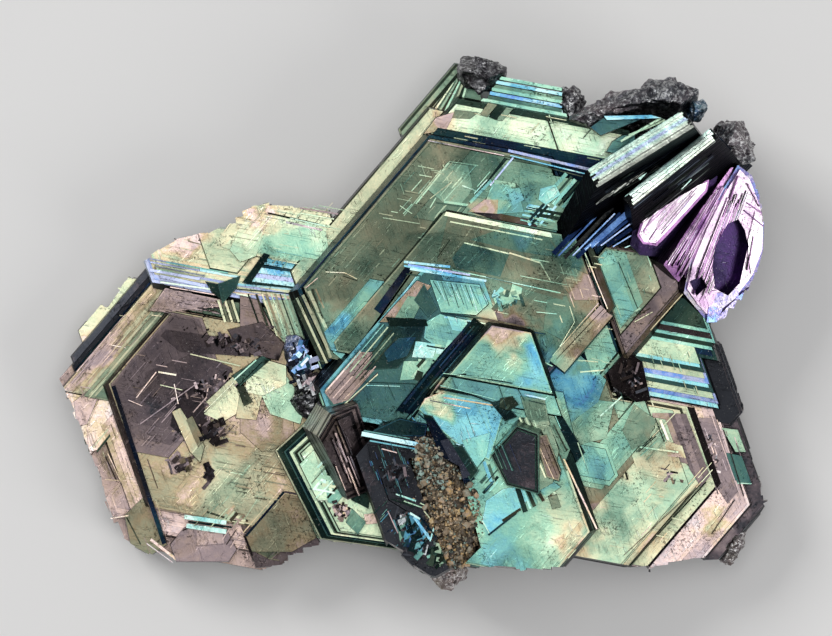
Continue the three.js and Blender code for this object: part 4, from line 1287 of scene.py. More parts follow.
plates([((608, 372, 626, 350, 642, 362, 650, 400, 636, 402, 612, 386), 5.6, 7.3, 0.9, 0.03)])
shards((606, 370, 628, 350, 640, 364, 654, 404, 630, 398), 7.2, 70, 0.9, 65,
       azimuths=(RISING, 20, 75, -40, STEEP), glow=(0.03, 0.05, 0.12, 0.6), lift=0.9,
       length=(0.2, 0.8), width=(0.06, 0.22), sink=2.0)
plates([((692, 418, 716, 418, 738, 492, 728, 504, 712, 480), 4.7, 5.06, 0.87, 0.60)], slope=0.02)
shards((694, 420, 714, 420, 734, 480, 722, 500, 706, 460), 4.96, 90, 0.88, 79,
       glow=(0.05, 0.3, 1.2), lift=0.14, length=(0.06, 0.4), width=(0.05, 0.16),
       azimuths=ALL_WAYS)
strips([
    (724, 430, 744, 496, 0.06, 0.9, 0.12), (712, 416, 742, 500, 0.06, 0.84, 1),
    (735, 500, 712, 534, 0.06, 0.9, 0.1),
], 5.15, 0.006)
plates([
    ((722, 428, 738, 430, 746, 452, 736, 452), 4.4, 4.98, 0.48, 0.8),
    ((722, 452, 742, 456, 752, 484, 735, 484), 4.4, 4.96, 0.3, 0.35),
])
bar((730, 483), (752, 484), 0.06, 5.0, 0.4, 1.3)
strokes((688, 420), (740, 500), STEEP, 26, 5.08, 0.86, 66, length=(0.2, 0.9), glow=(0.4, 1.2))
strokes((640, 470), (720, 560), RISING, 20, 6.28, 0.64, 67, length=(0.3, 1.4), glow=(0.8, 1.2))
strokes((600, 490), (690, 560), FALLING, 10, 6.28, 0.60, 69, length=(0.2, 0.9), glow=(0.8, 1.2))

pile(STAIRS, [3.2, 5.4, 4.8, 4.8, 2.7, 4.8], 1.2, 4.8, 0.99, 68, stagger=0.4, glow=0.35)
# Each tread: its reach to the right, to the left and in front, top, film, brightness.
TREADS = [
    (1.70, 2.9, 1.80, 5.50, 0.24, 1.30), (1.78, 2.8, 1.55, 5.62, 0.05, 0.90),
    (1.62, 2.8, 1.30, 5.80, 0.56, 0.90), (1.74, 2.7, 0.95, 5.90, 0.30, 0.20),
    (1.56, 2.6, 0.70, 6.00, 0.26, 1.30), (1.66, 2.6, 0.48, 6.10, 0.04, 1.00),
    (1.50, 2.7, 0.20, 6.22, 0.58, 0.85), (1.60, 2.8, -0.15, 6.40, 0.30, 0.15),
    (1.46, 2.9, -0.40, 6.50, 0.26, 1.20), (1.52, 3.0, -0.60, 6.56, 0.52, 0.95),
    (2.60, 3.6, -1.00, 6.30, 0.30, 0.15), (2.40, 3.5, -1.20, 6.45, 0.10, 0.12),
    (2.50, 3.6, -1.55, 6.60, 0.34, 1.10), (2.60, 3.5, -1.75, 6.72, 0.38, 0.10),
    (2.80, 3.6, -2.00, 6.80, 0.32, 0.95), (2.70, 3.5, -2.20, 6.88, 0.90, 0.12),
    (2.70, 3.6, -2.55, 7.00, 0.34, 0.90), (2.60, 3.6, -2.75, 7.10, 0.36, 0.12),
]
for right, left, front, top, film, glow in TREADS:
    tablet(STAIRS, [right, 4.3, 4.8, left, front, 4.8], top - 1.0, top, film, glow, cut=0.0,
           slope=[0.15, 0.2, 0.2, 0.2, 0.06, 0.2])
strokes((645, 385), (700, 405), STEEP, 18, 6.24, 0.56, 70, length=(0.2, 0.7), glow=(0.5, 1.2))
strokes((640, 352), (690, 368), STEEP, 12, 6.58, 0.52, 75, length=(0.2, 0.6), glow=(0.5, 1.2))
ragged_break((700, 300, 712, 325, 732, 355, 744, 400, 752, 440, 758, 480, 766, 505), 15, 72,
             bite=0.3)
ragged_break((766, 505, 764, 530, 748, 552, 735, 560), -35, 73, bite=0.3)
ragged_break((742, 558, 720, 562, 690, 560, 660, 568, 600, 570), 270, 74, bite=0.25)
join_crystal("right_crystal", TARNISHED, "crystal_cluster")

# ---------------------------------------------------------------- the left-hand crystal
# A broad low tablet: a mauve middle, dark in its film and darker with painted shade, turning to
# gold, inside peach and pink steps.

LEFT = (-13.5, -6.3)

tablet(LEFT, [7.6, 6.2, 6.2, 4.6, 5.8, 7.4], 0.0, 1.2, 0.85, 0.2, slope=-0.3)
pile(LEFT, [9.0, 8.1, 8.0, 6.5, 7.7, 9.5], 0.8, 2.4, 0.78, 71, thickness=0.22, stagger=0.3)
tablet(LEFT, [9.0, 8.3, 9.0, 4.4, -3.0, 9.0], 1.3, 2.5, 0.60, 1.1, cut=0.1)
pile(LEFT, [9.0, 9.0, 8.3, 5.3, -0.6, 9.0], 1.6, 2.9, 0.80, 72, thickness=0.2, stagger=0.2,
     glow=0.3)
stack(LEFT, [
    (9, 9, 8.3, 5.3, -0.6, 9, 2.7, 3, 1, 0.8), (9, 9, 7.9, 5.4, -0.7, 9, 2.9, 3.12, 1.02, 0.3, 0),
    (9, 9, 7.65, 5.4, -0.7, 9, 2.9, 3.18, 0.1, 0.06, 0),
])
pile(LEFT, [8.4, 8.7, 7.5, 6.4, -0.9, 9.0], 2.2, 3.5, 0.66, 73, thickness=0.22, stagger=0.12)
tablet(LEFT, [8.4, 8.7, 7.45, 6.4, -0.9, 9.0], 3.3, 3.66, 0.74, 0.95, cut=0.0, slope=0.1,
       border=0.08, rim=(-0.10, 1.3))
for inset, film, glow in [(0.25, 0.76, 0.85), (0.50, 0.74, 0.75), (0.66, 0.70, 0.90),
                          (0.90, 0.72, 0.70), (1.05, 0.66, 0.80), (1.30, 0.62, 0.60)]:
    tablet(LEFT, [8.4, 8.7, 7.45 - inset, 6.3 - inset * 0.2, -0.95, 9.0], 3.5,
           3.70 + inset * 0.12, film, glow, cut=0.1, slope=0.04)
tablet(LEFT, [8.4, 8.7, 6.2, 6.0, -0.8, 9.0], 3.6, 3.92, 0.56, 0.52, cut=0.0, slope=0.05)
for inset, film, glow in [(0.10, 0.60, 0.75), (0.22, 0.55, 0.45), (0.36, 0.60, 0.70),
                          (0.48, 0.50, 0.40)]:
    tablet(LEFT, [8.4, 8.6, 6.1 - inset, 5.95, -0.9, 9.0], 3.8, 3.98 + inset * 0.15, film, glow,
           cut=0.0, slope=0.03)
strips([
    (110, 345, 125, 348, 0.05, 0.74, 1.5), (86, 382, 130, 330, 0.05, 0.66, 1),
    (150, 315, 168, 317, 0.06, 0.7, 1.5), (76, 372, 110, 332, 0.06, 0.76, 1.1),
    (70, 384, 100, 350, 0.05, 0.8, 1),
], 4.08, 0.004)
strokes((70, 300), (150, 395), RISING, 60, 4.04, 0.72, 61, length=(0.2, 1.6), width=(0.02, 0.05),
        glow=(0.3, 1.1), spill=0.12)
strokes((70, 300), (150, 395), FALLING, 26, 4.04, 0.76, 60, length=(0.1, 0.6), width=(0.02, 0.05),
        glow=(0.3, 1.1), spill=0.12)
tablet(LEFT, [9.0, 0.9, 9.0, 6.6, 6.0, -3.6], 2.4, 3.3, 0.77, 1.3, cut=0.3, slope=0.08)
steps(LEFT, [9.0, 0.8, 8.9, 6.5, 5.9, -3.7], 3.3, 3, 0.77, 76, back=(1, 5), step=0.25, glow=1.3)
plates([
    ((73, 402, 86, 392, 98, 395, 86, 424, 76, 428), 3.2, 3.62, 0.82, 1, 0.06),
    ((86, 428, 100, 396, 112, 398, 118, 422, 98, 450, 88, 452), 3.2, 3.66, 0.76, 1.4, 0.06,
     (0.05, 0.8)),
])
strips([
    (96, 452, 120, 422, 0.12, 0.5, 0.2), (92, 448, 116, 419, 0.06, 0.6, 1.1),
    (104, 456, 116, 482, 0.08, 0.84, 0.1), (107, 454, 120, 482, 0.06, 0.78, 1.2),
    (112, 426, 126, 452, 0.05, 0.62, 1.1), (104, 480, 138, 482, 0.05, 0.78, 1.2),
    (80, 432, 88, 452, 0.08, 0.5, 0.15),
], 3.7, 0.005)
tablet(LEFT, [9.0, 0.0, 1.2, 6.2, 6.0, 3.6], 2.4, 3.0, 0.78, 0.80, cut=0.3, slope=0.08)
steps(LEFT, [9.0, -0.1, 1.1, 6.1, 5.9, 3.6], 3.0, 2, 0.78, 77, back=(3, 4), step=0.2, glow=0.80)
tablet(LEFT, [9.0, 3.6, 4.2, 5.0, 6.5, 9.0], 2.4, 3.7, 0.76, 0.95, cut=0.1, slope=0.15)
steps(LEFT, [9.0, 3.6, 4.2, 4.9, 6.4, 9.0], 3.7, 3, 0.75, 78, back=(3, 4), step=0.22, glow=0.95)
plates([((124, 516, 142, 498, 154, 505, 166, 545, 150, 556, 130, 545), 3.4, 3.92, 0.62, 0.4)])
strips([
    (103, 520, 128, 516, 0.06, 0.74, 1.4), (126, 518, 140, 545, 0.08, 0.5, 0.12),
    (150, 540, 176, 560, 0.16, 0.76, 1.1), (146, 544, 172, 563, 0.06, 0.86, 1.3),
], 3.96)
pile(LEFT, [9.0, 6.9, 5.6, 3.9, 5.1, 9.0], 3.2, 4.6, 0.66, 79, thickness=0.22, stagger=0.12)
stack(LEFT, [
    (9, 6.85, 5.6, 3.95, 4.9, 9, 4.2, 4.7, 0.8, 0.08, 0, 0.14),
    (9, 6.8, 5.5, 3.7, 5, 9, 4.2, 4.8, 0.68, 0.7, 0, 0.05),
])
plates([
    ((285, 494, 299, 497, 316, 538, 292, 552, 252, 552, 246, 537), 4, 4.86, 0.68, 0.34),
    ((258, 492, 286, 496, 300, 512, 330, 560, 240, 570, 250, 545, 244, 520), 3.4, 4.4, 0.88, 0.26),
])
tablet(LEFT, [9.0, -2.8, -5.9, -1.0, 7.0, 9.0], 3.5, 4.4, 0.84, 0.24, cut=0.05, slope=0.14)
plates([
    ((286, 497, 300, 512, 310, 530, 270, 560, 246, 548, 256, 522), 4.2, 4.52, 0.6, 0.22, 0.05,
     (0.2, 1.8)),
])
strips([
    (284, 492, 246, 536, 0.14, 0.1, 0.06), (281, 489, 243, 533, 0.06, 0.72, 1),
    (284, 492, 300, 495, 0.12, 0.9, 0.25), (244, 536, 252, 556, 0.12, 0.9, 0.06),
    (246, 500, 270, 490, 0.08, 0.66, 0.8), (258, 498, 244, 520, 0.05, 0.6, 1),
], 4.86, 0.004)
plates([
    ((184, 528, 226, 530, 236, 550, 228, 562, 176, 562, 170, 545), 3.6, 4.3, 0.86, 0.62, 0.06),
    ((196, 524, 222, 528, 224, 544, 196, 546), 4.1, 4.42, 0.82, 0.7, 0.04),
])
bars([
    (184, 517, 226, 523, 0.26, 4.94, 0.36, 1.7), (188, 522, 234, 528, 0.1, 4.88, 0.24, 0.06),
    (186, 526, 226, 532, 0.28, 4.8, 0.34, 1.6), (182, 531, 196, 525, 0.08, 4.6, 0.8, 0.08),
    (222, 540, 230, 528, 0.06, 4.5, 0.8, 0.9), (226, 545, 236, 530, 0.06, 4.5, 0.8, 0.1),
    (230, 548, 240, 532, 0.06, 4.5, 0.8, 0.8), (236, 552, 246, 538, 0.05, 4.5, 0.8, 0.6),
    (206, 512, 250, 526, 0.12, 4.86, 0.62, 0.12), (215, 518, 244, 524, 0.05, 4.9, 0.62, 0.9),
], height=0.4)
strokes((130, 395), (165, 540), STEEP, 20, 4.84, 0.72, 80, length=(0.5, 2.2), glow=(0.2, 1.0))
stack(LEFT, [
    (2.9, 6.7, 5.4, 3.6, 1.9, 0.1, 4.7, 4.98, 0.84, 0.42, 0.1, 0.05),
    (2.7, 6.6, 5.3, 3.5, 1.1, -0.3, 4.7, 5.06, 0.87, 0.36, 0.1, 0.05),
    (2.4, 6.5, 5.2, 3.4, 0.2, -0.6, 5, 5.1, 0.9, 0.34, 0.1, 0.02),
])
plates([
    ((180, 313, 226, 318, 240, 340, 282, 346, 270, 358, 180, 352, 160, 336), 4.9, 5.15, 0.92, 0.24),
    ((146, 372, 196, 352, 232, 368, 216, 400, 176, 420, 140, 400), 4.9, 5.14, 0.92, 0.28),
    ((176, 392, 200, 384, 206, 416, 186, 440, 170, 426), 4.9, 5.18, 0.95, 0.16),
], slope=0.01)
shards((140, 380, 250, 350, 270, 372, 236, 400, 150, 440), 5.08, 130, 0.90, 64,
       glow=(0.05, 0.2, 0.45, 0.9), lift=0.16, length=(0.1, 0.6), width=(0.04, 0.22),
       azimuths=ALL_WAYS)
shards((128, 420, 190, 420, 250, 372, 262, 380, 236, 410, 180, 466, 150, 470), 5.0, 190, 0.84, 62,
       glow=(0.06, 0.2, 0.45, 0.85), lift=0.16, length=(0.1, 0.8), width=(0.05, 0.3),
       azimuths=ALL_WAYS)
shards((176, 322, 240, 332, 288, 344, 272, 366, 180, 350), 5.12, 70, 0.92, 63,
       glow=(0.04, 0.14, 0.5), lift=0.2, length=(0.1, 0.5), width=(0.06, 0.3),
       azimuths=ALL_WAYS)
strips([
    (190, 354, 240, 366, 0.07, 0.6, 0.9), (140, 424, 196, 384, 0.06, 0.88, 0.9),
    (136, 398, 156, 372, 0.06, 0.8, 1.4), (158, 372, 176, 375, 0.1, 0.7, 1.6),
    (160, 385, 182, 390, 0.05, 0.6, 1.2), (128, 400, 142, 406, 0.04, 0.8, 1.2),
    (174, 384, 178, 404, 0.05, 0.76, 1.4), (113, 386, 164, 544, 0.26, 0.05, 0.05),
    (108, 386, 158, 544, 0.05, 0.84, 1),
], 5.3, 0.003)
strokes((130, 350), (230, 450), RISING, 30, 5.28, 0.88, 82, length=(0.3, 1.4), glow=(0.25, 0.8))
strokes((130, 350), (230, 450), FALLING, 16, 5.28, 0.84, 83, length=(0.2, 1.0), glow=(0.25, 0.9))
plates([
    ((172, 412, 180, 408, 204, 446, 200, 462, 190, 452), 5, 5.4, 0.64, 0.75),
    ((186, 420, 192, 416, 204, 440, 198, 448), 5, 5.44, 0.66, 0.35),
])
shards((188, 412, 212, 400, 236, 420, 236, 450, 214, 462, 190, 436), 5.2, 44, 0.9, 84,
       glow=(0.05, 0.07, 0.12, 0.5), lift=0.3, azimuths=(RISING, 20, 75, STEEP), length=(0.2, 0.9),
       width=(0.12, 0.5))
shards((150, 462, 176, 446, 206, 452, 200, 480, 166, 478), 5.0, 34, 0.80, 85,
       glow=(0.10, 0.25, 0.6), lift=0.2, azimuths=(RISING, 20, STEEP), length=(0.2, 0.9))
shards((200, 462, 214, 458, 216, 486, 204, 488), 4.9, 14, 0.90, 86, glow=(0.06, 0.2), lift=0.25,
       azimuths=(STEEP, RISING), length=(0.2, 0.8))
plates([
    ((204, 414, 232, 384, 240, 392, 236, 414, 222, 422), 4.9, 5.32, 0.6, 1.02, 0.06),
    ((206, 402, 236, 374, 240, 380, 212, 408), 4.9, 5.36, 0.62, 0.85),
    ((232, 376, 262, 356, 270, 360, 240, 386), 4.9, 5.4, 0.34, 0.22),
])
strips([
    (234, 380, 256, 360, 0.08, 0.4, 1.3), (238, 386, 262, 362, 0.06, 0.3, 0.06),
    (204, 412, 234, 382, 0.05, 0.62, 1.4),
], 5.44)
plates([
    ((246, 374, 266, 360, 286, 366, 286, 384, 262, 396, 246, 392), 4.8, 5.22, 0.54, 1, 0.05),
    ((258, 388, 286, 376, 306, 404, 300, 424, 270, 414), 4.7, 5.1, 0.46, 0.95, 0.05),
    ((236, 386, 244, 386, 252, 402, 244, 406), 4.9, 5.42, 0.5, 0.08),
    ((238, 392, 246, 384, 262, 396, 256, 420, 236, 418), 4.8, 5.16, 0.6, 0.75),
    ((240, 402, 262, 400, 292, 418, 296, 442, 262, 452, 240, 432), 4.7, 4.94, 0.69, 0.52),
])
strokes((225, 430), (290, 500), FALLING, 34, 4.98, 0.66, 87, length=(0.2, 1.4), glow=(0.15, 1.0))
strokes((240, 490), (330, 570), RISING, 40, 4.54, 0.84, 58, length=(0.2, 1.2), width=(0.02, 0.05),
        glow=(0.15, 0.7), spill=0.12)
strokes((240, 490), (330, 570), FALLING, 34, 4.54, 0.80, 57, length=(0.2, 1.4), width=(0.02, 0.05),
        glow=(0.15, 0.7), spill=0.12)
strokes((70, 390), (170, 560), STEEP, 44, 3.90, 0.76, 56, length=(0.2, 1.4), width=(0.02, 0.05),
        glow=(0.3, 1.1), spill=0.1)
strokes((180, 460), (280, 520), RISING, 26, 4.90, 0.66, 88, length=(0.3, 1.6), glow=(0.4, 1.1))
strokes((160, 470), (250, 530), FALLING, 14, 4.90, 0.70, 89, length=(0.2, 1.0), glow=(0.4, 1.1))
shards((212, 505, 250, 505, 256, 530, 224, 524), 4.8, 18, 0.66, 90, glow=(0.1, 0.5, 0.9),
       azimuths=(FALLING, RISING), lift=0.15, width=(0.05, 0.2))
strokes((166, 290), (242, 318), FALLING, 26, 5.02, 0.84, 55, length=(0.2, 1.2), glow=(0.15, 0.7))
strips([
    (158, 304, 216, 312, 0.05, 0.84, 1.1), (150, 300, 160, 290, 0.12, 0.5, 0.1),
    (118, 352, 152, 312, 0.14, 0.62, 0.7),
], 4.95)
plates([
    ((165, 288, 222, 300, 238, 318, 166, 312, 146, 314), 4.5, 4.98, 0.84, 0.62, 0.06, (-0.05, 1.3)),
    ((240, 296, 258, 300, 272, 328, 258, 338, 240, 326), 4.5, 5.02, 0.82, 0.42),
])
strokes((150, 316), (226, 440), RISING, 70, 5.12, 0.92, 131, length=(0.08, 0.45),
        width=(0.04, 0.14), glow=(0.03, 0.5), spill=0.1)
strokes((236, 326), (276, 356), FALLING, 26, 5.21, 0.90, 132, length=(0.08, 0.35),
        width=(0.04, 0.14), glow=(0.03, 0.4), spill=0.08)
strokes((170, 290), (226, 312), FALLING, 16, 4.99, 0.86, 133, length=(0.1, 0.5), width=(0.03, 0.10),
        glow=(0.1, 0.6), spill=0.08)
for number, (film, glow) in enumerate([(0.62, 1.1), (0.60, 0.3), (0.64, 1.1), (0.60, 0.25),
                                       (0.62, 0.9)]):
    bar((218 + 3.4 * number, 300), (225 + 3.4 * number, 322), 0.14, 5.1, film, glow)
plates([
    ((228, 330, 262, 322, 284, 344, 278, 360, 240, 352), 4.9, 5.2, 0.86, 0.22),
    ((262, 300, 300, 300, 316, 350, 300, 356, 282, 340), 4.5, 5.06, 0.54, 0.75),
])
for start, width, film, glow in [
        (248, 0.10, 0.5, 0.06), (256, 0.14, 0.6, 0.10), (262, 0.10, 0.62, 1.0),
        (266, 0.16, 0.64, 0.4), (271, 0.08, 0.5, 1.1), (275, 0.12, 0.60, 0.5),
        (280, 0.08, 0.5, 0.15), (284, 0.14, 0.5, 1.0), (289, 0.10, 0.45, 0.7),
        (294, 0.12, 0.45, 0.08)]:
    bar((start, 294), (start + 15, 336), width, 5.14, film, glow)
ragged_break((70, 338, 76, 322, 100, 305, 112, 300, 114, 288, 136, 272), 139.5, 95, bite=0.4,
             high=3.05)
ragged_break((62, 385, 68, 405, 80, 432, 86, 455), 195, 91, bite=0.2)
ragged_break((86, 455, 98, 480, 100, 500, 108, 520, 118, 535), 195, 92, bite=0.3)
ragged_break((118, 535, 135, 552, 155, 562, 178, 568), 232, 93, bite=0.3)
ragged_break((178, 568, 215, 571, 250, 572, 278, 570, 300, 556, 324, 544), 270, 94, bite=0.3)
join_crystal("left_crystal", TARNISHED, "crystal_cluster")

# ---------------------------------------------------------------- the upper-left crystal
# A pale cream and mint tablet between the left-hand crystal and the main one, with lavender
# striated treads on its front.

UPPER_LEFT = (-9.9, 3.9)

stack(UPPER_LEFT, [
    (4.8, 0.4, 4.2, 4.6, 4.2, 4.8, 0.6, 2.6, 0.8, 0.3),
    (4.8, 3.2, 1.8, 1.8, 4.2, 4.8, 0.8, 2.8, 0.8, 0.3),
])
pile(UPPER_LEFT, [4.2, 0.6, 4.8, 6.0, 2.6, 5.4], 1.8, 4.4, 0.6, 101, thickness=0.25, stagger=0.2)
stack(UPPER_LEFT, [
    (4.2, 0.6, 4.8, 6, 2.4, 5.4, 3.9, 4.6, 0, 1.15, 0.62, [0.1, 0.1, 0.1, 0.1, 0.35, 0.1]),
    (4.2, 0.8, 4.7, 5.8, 2.2, 5.4, 4.5, 4.75, 0.02, 1.1, 0.3, 0.02),
    (4.2, 1, 4.8, 5.7, 1.9, 5.4, 4.6, 4.92, 0.64, 0.9, 0.3, 0.02),
])
for inset, film, glow in [(0.18, 0.50, 1.05), (0.36, 0.60, 0.95), (0.54, 0.66, 1.15),
                          (0.74, 0.58, 0.95), (0.90, 0.70, 1.2), (1.12, 0.62, 1.0),
                          (1.30, 0.66, 1.15)]:
    tablet(UPPER_LEFT, [4.2, 1.1 + inset * 0.2, 4.8, 5.6 - inset * 0.6, 1.9 - inset, 5.4], 4.8,
           4.96 + inset * 0.2, film, glow, cut=0.3, slope=0.01)
strips([
    (188, 241, 240, 255, 0.06, 0.55, 0.4), (198, 240, 225, 247, 0.07, 0.5, 0.15),
    (150, 262, 220, 274, 0.1, 0, 1), (170, 265, 235, 277, 0.06, 0, 0.6),
    (150, 270, 200, 279, 0.16, 0, 1.2), (200, 270, 238, 277, 0.14, 0.24, 1.4),
    (146, 258, 190, 266, 0.08, 0, 0.7), (155, 266, 205, 276, 0.06, 0, 0.5),
    (166, 262, 228, 273, 0.08, 0.3, 0.9),
], 5.3, 0.004)
strokes((160, 232), (250, 275), FALLING, 50, 5.26, 0.56, 108, length=(0.3, 1.8), width=(0.02, 0.05),
        glow=(0.4, 1.2), spill=0.14)
pile(UPPER_LEFT, [5.4, 3.75, 2.4, 2.4, -0.3, 5.4], 2.0, 5.4, 0.5, 102, thickness=0.25,
     stagger=0.15)
stack(UPPER_LEFT, [
    (5.4, 3.7, 2.3, 2.4, -0.3, 5.4, 5, 5.7, 0.63, 1.05, 0.4, 0.12),
    (5.4, 3.3, 1.7, 2.3, -0.4, 5.4, 5.6, 5.75, 0.58, 1.1, 0.4, 0.02),
    (5.4, 2.9, 0.9, 2.2, -0.5, 5.4, 5.6, 5.8, 0.52, 1.1, 0.2, 0.02),
])
strokes((235, 205), (330, 262), RISING, 44, 5.82, 0.56, 109, length=(0.2, 1.6), width=(0.02, 0.05),
        glow=(0.5, 1.3), spill=0.12)
strokes((235, 205), (335, 262), FALLING, 44, 5.90, 0.54, 110, length=(0.2, 1.8), width=(0.02, 0.05),
        glow=(0.5, 1.3), spill=0.14)
plates([
    ((270, 214, 300, 221, 326, 232, 330, 262, 276, 252, 262, 240), 5.6, 5.90, 0.50, 1.05),
], slope=0.02)
strips([
    (268, 213, 318, 224, 0.1, 0.36, 0.12), (300, 208, 338, 214, 0.1, 0.85, 0.7),
    (290, 218, 325, 226, 0.06, 0.45, 1.3), (286, 222, 322, 230, 0.12, 0.9, 1.2),
    (300, 213, 334, 219, 0.08, 0.55, 1.2), (272, 216, 246, 246, 0.05, 0.6, 1.4),
    (240, 210, 224, 232, 0.05, 0.66, 1.2),
], 5.94, 0.005)
plates([((238, 232, 262, 238, 256, 256, 240, 262, 230, 250), 5.5, 5.88, 0.54, 1.1)])
plates([((266, 254, 310, 262, 322, 268, 312, 290, 246, 284), 5.0, 5.62, 0.30, 0.10)], slope=0.02)
plates([((264, 253, 270, 255, 250, 284, 243, 282), 5, 5.98, 0.3, 0.06)])
for row, width, film, glow, top in [
        (265, 0.20, 0.28, 1.0, 5.66), (268, 0.16, 0.24, 1.4, 5.70), (271, 0.10, 0.20, 0.2, 5.64),
        (275, 0.34, 0.20, 1.35, 5.72), (280, 0.26, 0.0, 1.1, 5.74), (284, 0.26, 0.24, 1.4, 5.70)]:
    bar((267 - (row - 265) * 0.9, row - 5), (311 + (row - 265) * 0.2, row + 3), width, top, film,
        glow)
stack(UPPER_LEFT, [
    (5.4, 1.5, 3.6, 2.4, 0.9, -0.1, 5, 5.66, 0.6, 1, 0.5, 0.12),
    (5.4, 1, 3.6, 3.6, 1.7, 5.4, 3.6, 5, 0, 0.9, 0.6, [0.2, 0.2, 0.2, 0.2, 0.4, 0.2]),
])
strips([
    (160, 282, 245, 294, 0.1, 0.5, 1.5), (170, 287, 222, 296, 0.06, 0.8, 1.2),
    (236, 284, 300, 290, 0.12, 0.22, 1.4), (236, 289, 296, 294, 0.07, 0.3, 0.12),
    (160, 276, 205, 286, 0.18, 0, 1.2), (236, 293, 250, 296, 0.14, 0.6, 1.5),
    (230, 292, 290, 298, 0.08, 0.76, 0.9),
], 5.06, 0.006)
plates([
    ((206, 282, 221, 285, 224, 302, 212, 292), 4.8, 5.5, 0.3, 0.08),
    ((218, 284, 240, 276, 236, 288, 222, 304), 4.8, 5.56, 0.3, 0.16, 0.05, (0, 1.6)),
])
ragged_break((138, 262, 158, 249, 180, 236, 205, 231, 222, 228), 118, 104, bite=0.12)
ragged_break((158, 248, 178, 235, 192, 232), 118, 204, bite=0.05)
ragged_break((226, 226, 240, 208, 266, 203, 290, 205, 312, 208), 100, 105, bite=0.15)
join_crystal("upper_left_crystal", TARNISHED, "crystal_cluster")

# ---------------------------------------------------------------- the nest of hexagons
# A small crystal turned a little out of line, whose corner shows as mint bands and bands painted
# dark as shade, laid one inside the other.

NEST = (-5.7, -9.3)
NEST_FACES = [27, 80, 133, 207, 262]

pile(NEST, [2.6, 3.4, 3.1, 1.6, 3.5], 0.7, 6.0, 0.6, 111, stagger=0.3, azimuths=NEST_FACES,
     slope=0.05)
# Each band: how far it steps in, top, film, painted brightness, how pale its side's painted
# highlight is.
BANDS = [
    (0.00, 6.2, 0.60, 0.60, 0.05), (0.10, 6.4, 0.36, 0.05, 0.02), (0.45, 6.5, 0.30, 0.25, 0.0),
    (0.52, 6.6, 0.20, 0.05, 0.0), (0.72, 6.75, 0.54, 1.00, 0.0), (0.90, 6.85, 0.48, 0.35, 0.0),
    (0.98, 6.95, 0.50, 0.06, 0.0), (1.14, 7.05, 0.50, 0.90, 0.0), (1.24, 7.15, 0.50, 0.12, 0.0),
    (1.32, 7.25, 0.54, 1.05, 0.3),
]
for inset, top, film, glow, cut in BANDS:
    tablet(NEST, [2.6, 3.4 - inset * 0.4, 3.1 - inset * 0.9, 1.6 - inset, 3.5 - inset * 0.5],
           top - 0.6, top, film, glow, cut=cut, slope=0.05, azimuths=NEST_FACES)
shards((302, 462, 316, 444, 332, 446, 350, 500, 330, 520, 318, 500), 7.2, 80, 0.46, 112,
       glow=(0.05, 0.3, 0.9, 1.4), azimuths=(-66, RISING, FALLING), lift=0.3, width=(0.06, 0.25))
plates([
    ((300, 464, 314, 450, 330, 500, 318, 500), 7, 7.42, 0.5, 1.1, 0.05),
    ((326, 488, 336, 480, 346, 492, 336, 504, 328, 502), 7, 7.44, 0.34, 0.75),
    ((340, 470, 352, 476, 372, 488, 366, 522, 352, 500, 344, 496), 7, 7.36, 0.36, 0.10),
    ((352, 508, 366, 522, 358, 534, 346, 522), 7, 7.40, 0.38, 0.50),
    ((364, 514, 386, 512, 388, 522, 366, 524), 7, 7.38, 0.76, 0.90),
])
shards((322, 498, 350, 494, 362, 514, 346, 526, 328, 520), 7.22, 90, 0.82, 134,
       glow=(0.08, 0.4, 1.0), azimuths=(20, 50, 80, 110, 150), lift=0.35, length=(0.1, 0.32),
       width=(0.08, 0.24), sink=1.2)
pile(NEST, [6.0, 0.2, 5.0, 3.0, 3.5, 9.0], 1.2, 4.1, 0.5, 113, thickness=0.25, stagger=0.3,
     turn=19.5)
tablet(NEST, [5.6, 0.2, 5.0, 2.9, 3.2, 9.0], 4.0, 4.4, 0.52, 0.75, cut=0.3)
plates([
    ((318, 520, 350, 528, 342, 545, 322, 538), 4.2, 4.6, 0.6, 1.1),
    ((346, 530, 364, 522, 370, 540, 350, 548), 4.2, 4.66, 0.34, 0.55),
    ((366, 512, 382, 490, 394, 520, 372, 522), 4.2, 5.2, 0.52, 0.95),
    ((364, 520, 392, 522, 398, 545, 368, 545), 4.2, 4.7, 0.6, 0.9, 0.05),
])
shards((330, 530, 400, 530, 398, 550, 334, 546), 4.4, 40, 0.5, 115, glow=(0.1, 0.6, 1.1),
       azimuths=(RISING, FALLING, 80), lift=0.4, length=(0.2, 0.7))
ragged_break((318, 544, 345, 545, 370, 548, 396, 552), 270, 116, bite=0.25, high=6)
open_crust_seat()
join_crystal("nest_crystal", TARNISHED, "crystal_cluster")

# ---------------------------------------------------------------- the dark tipped crystals
# Between the nest and the front crystal: near-black crystals, some tipped out of line, with
# a few pale treads.

DARK = (-0.6, -9.5)
DARK_FACES = [20, 79.5, 139.5, 199.5, 226, 259.5, 300]

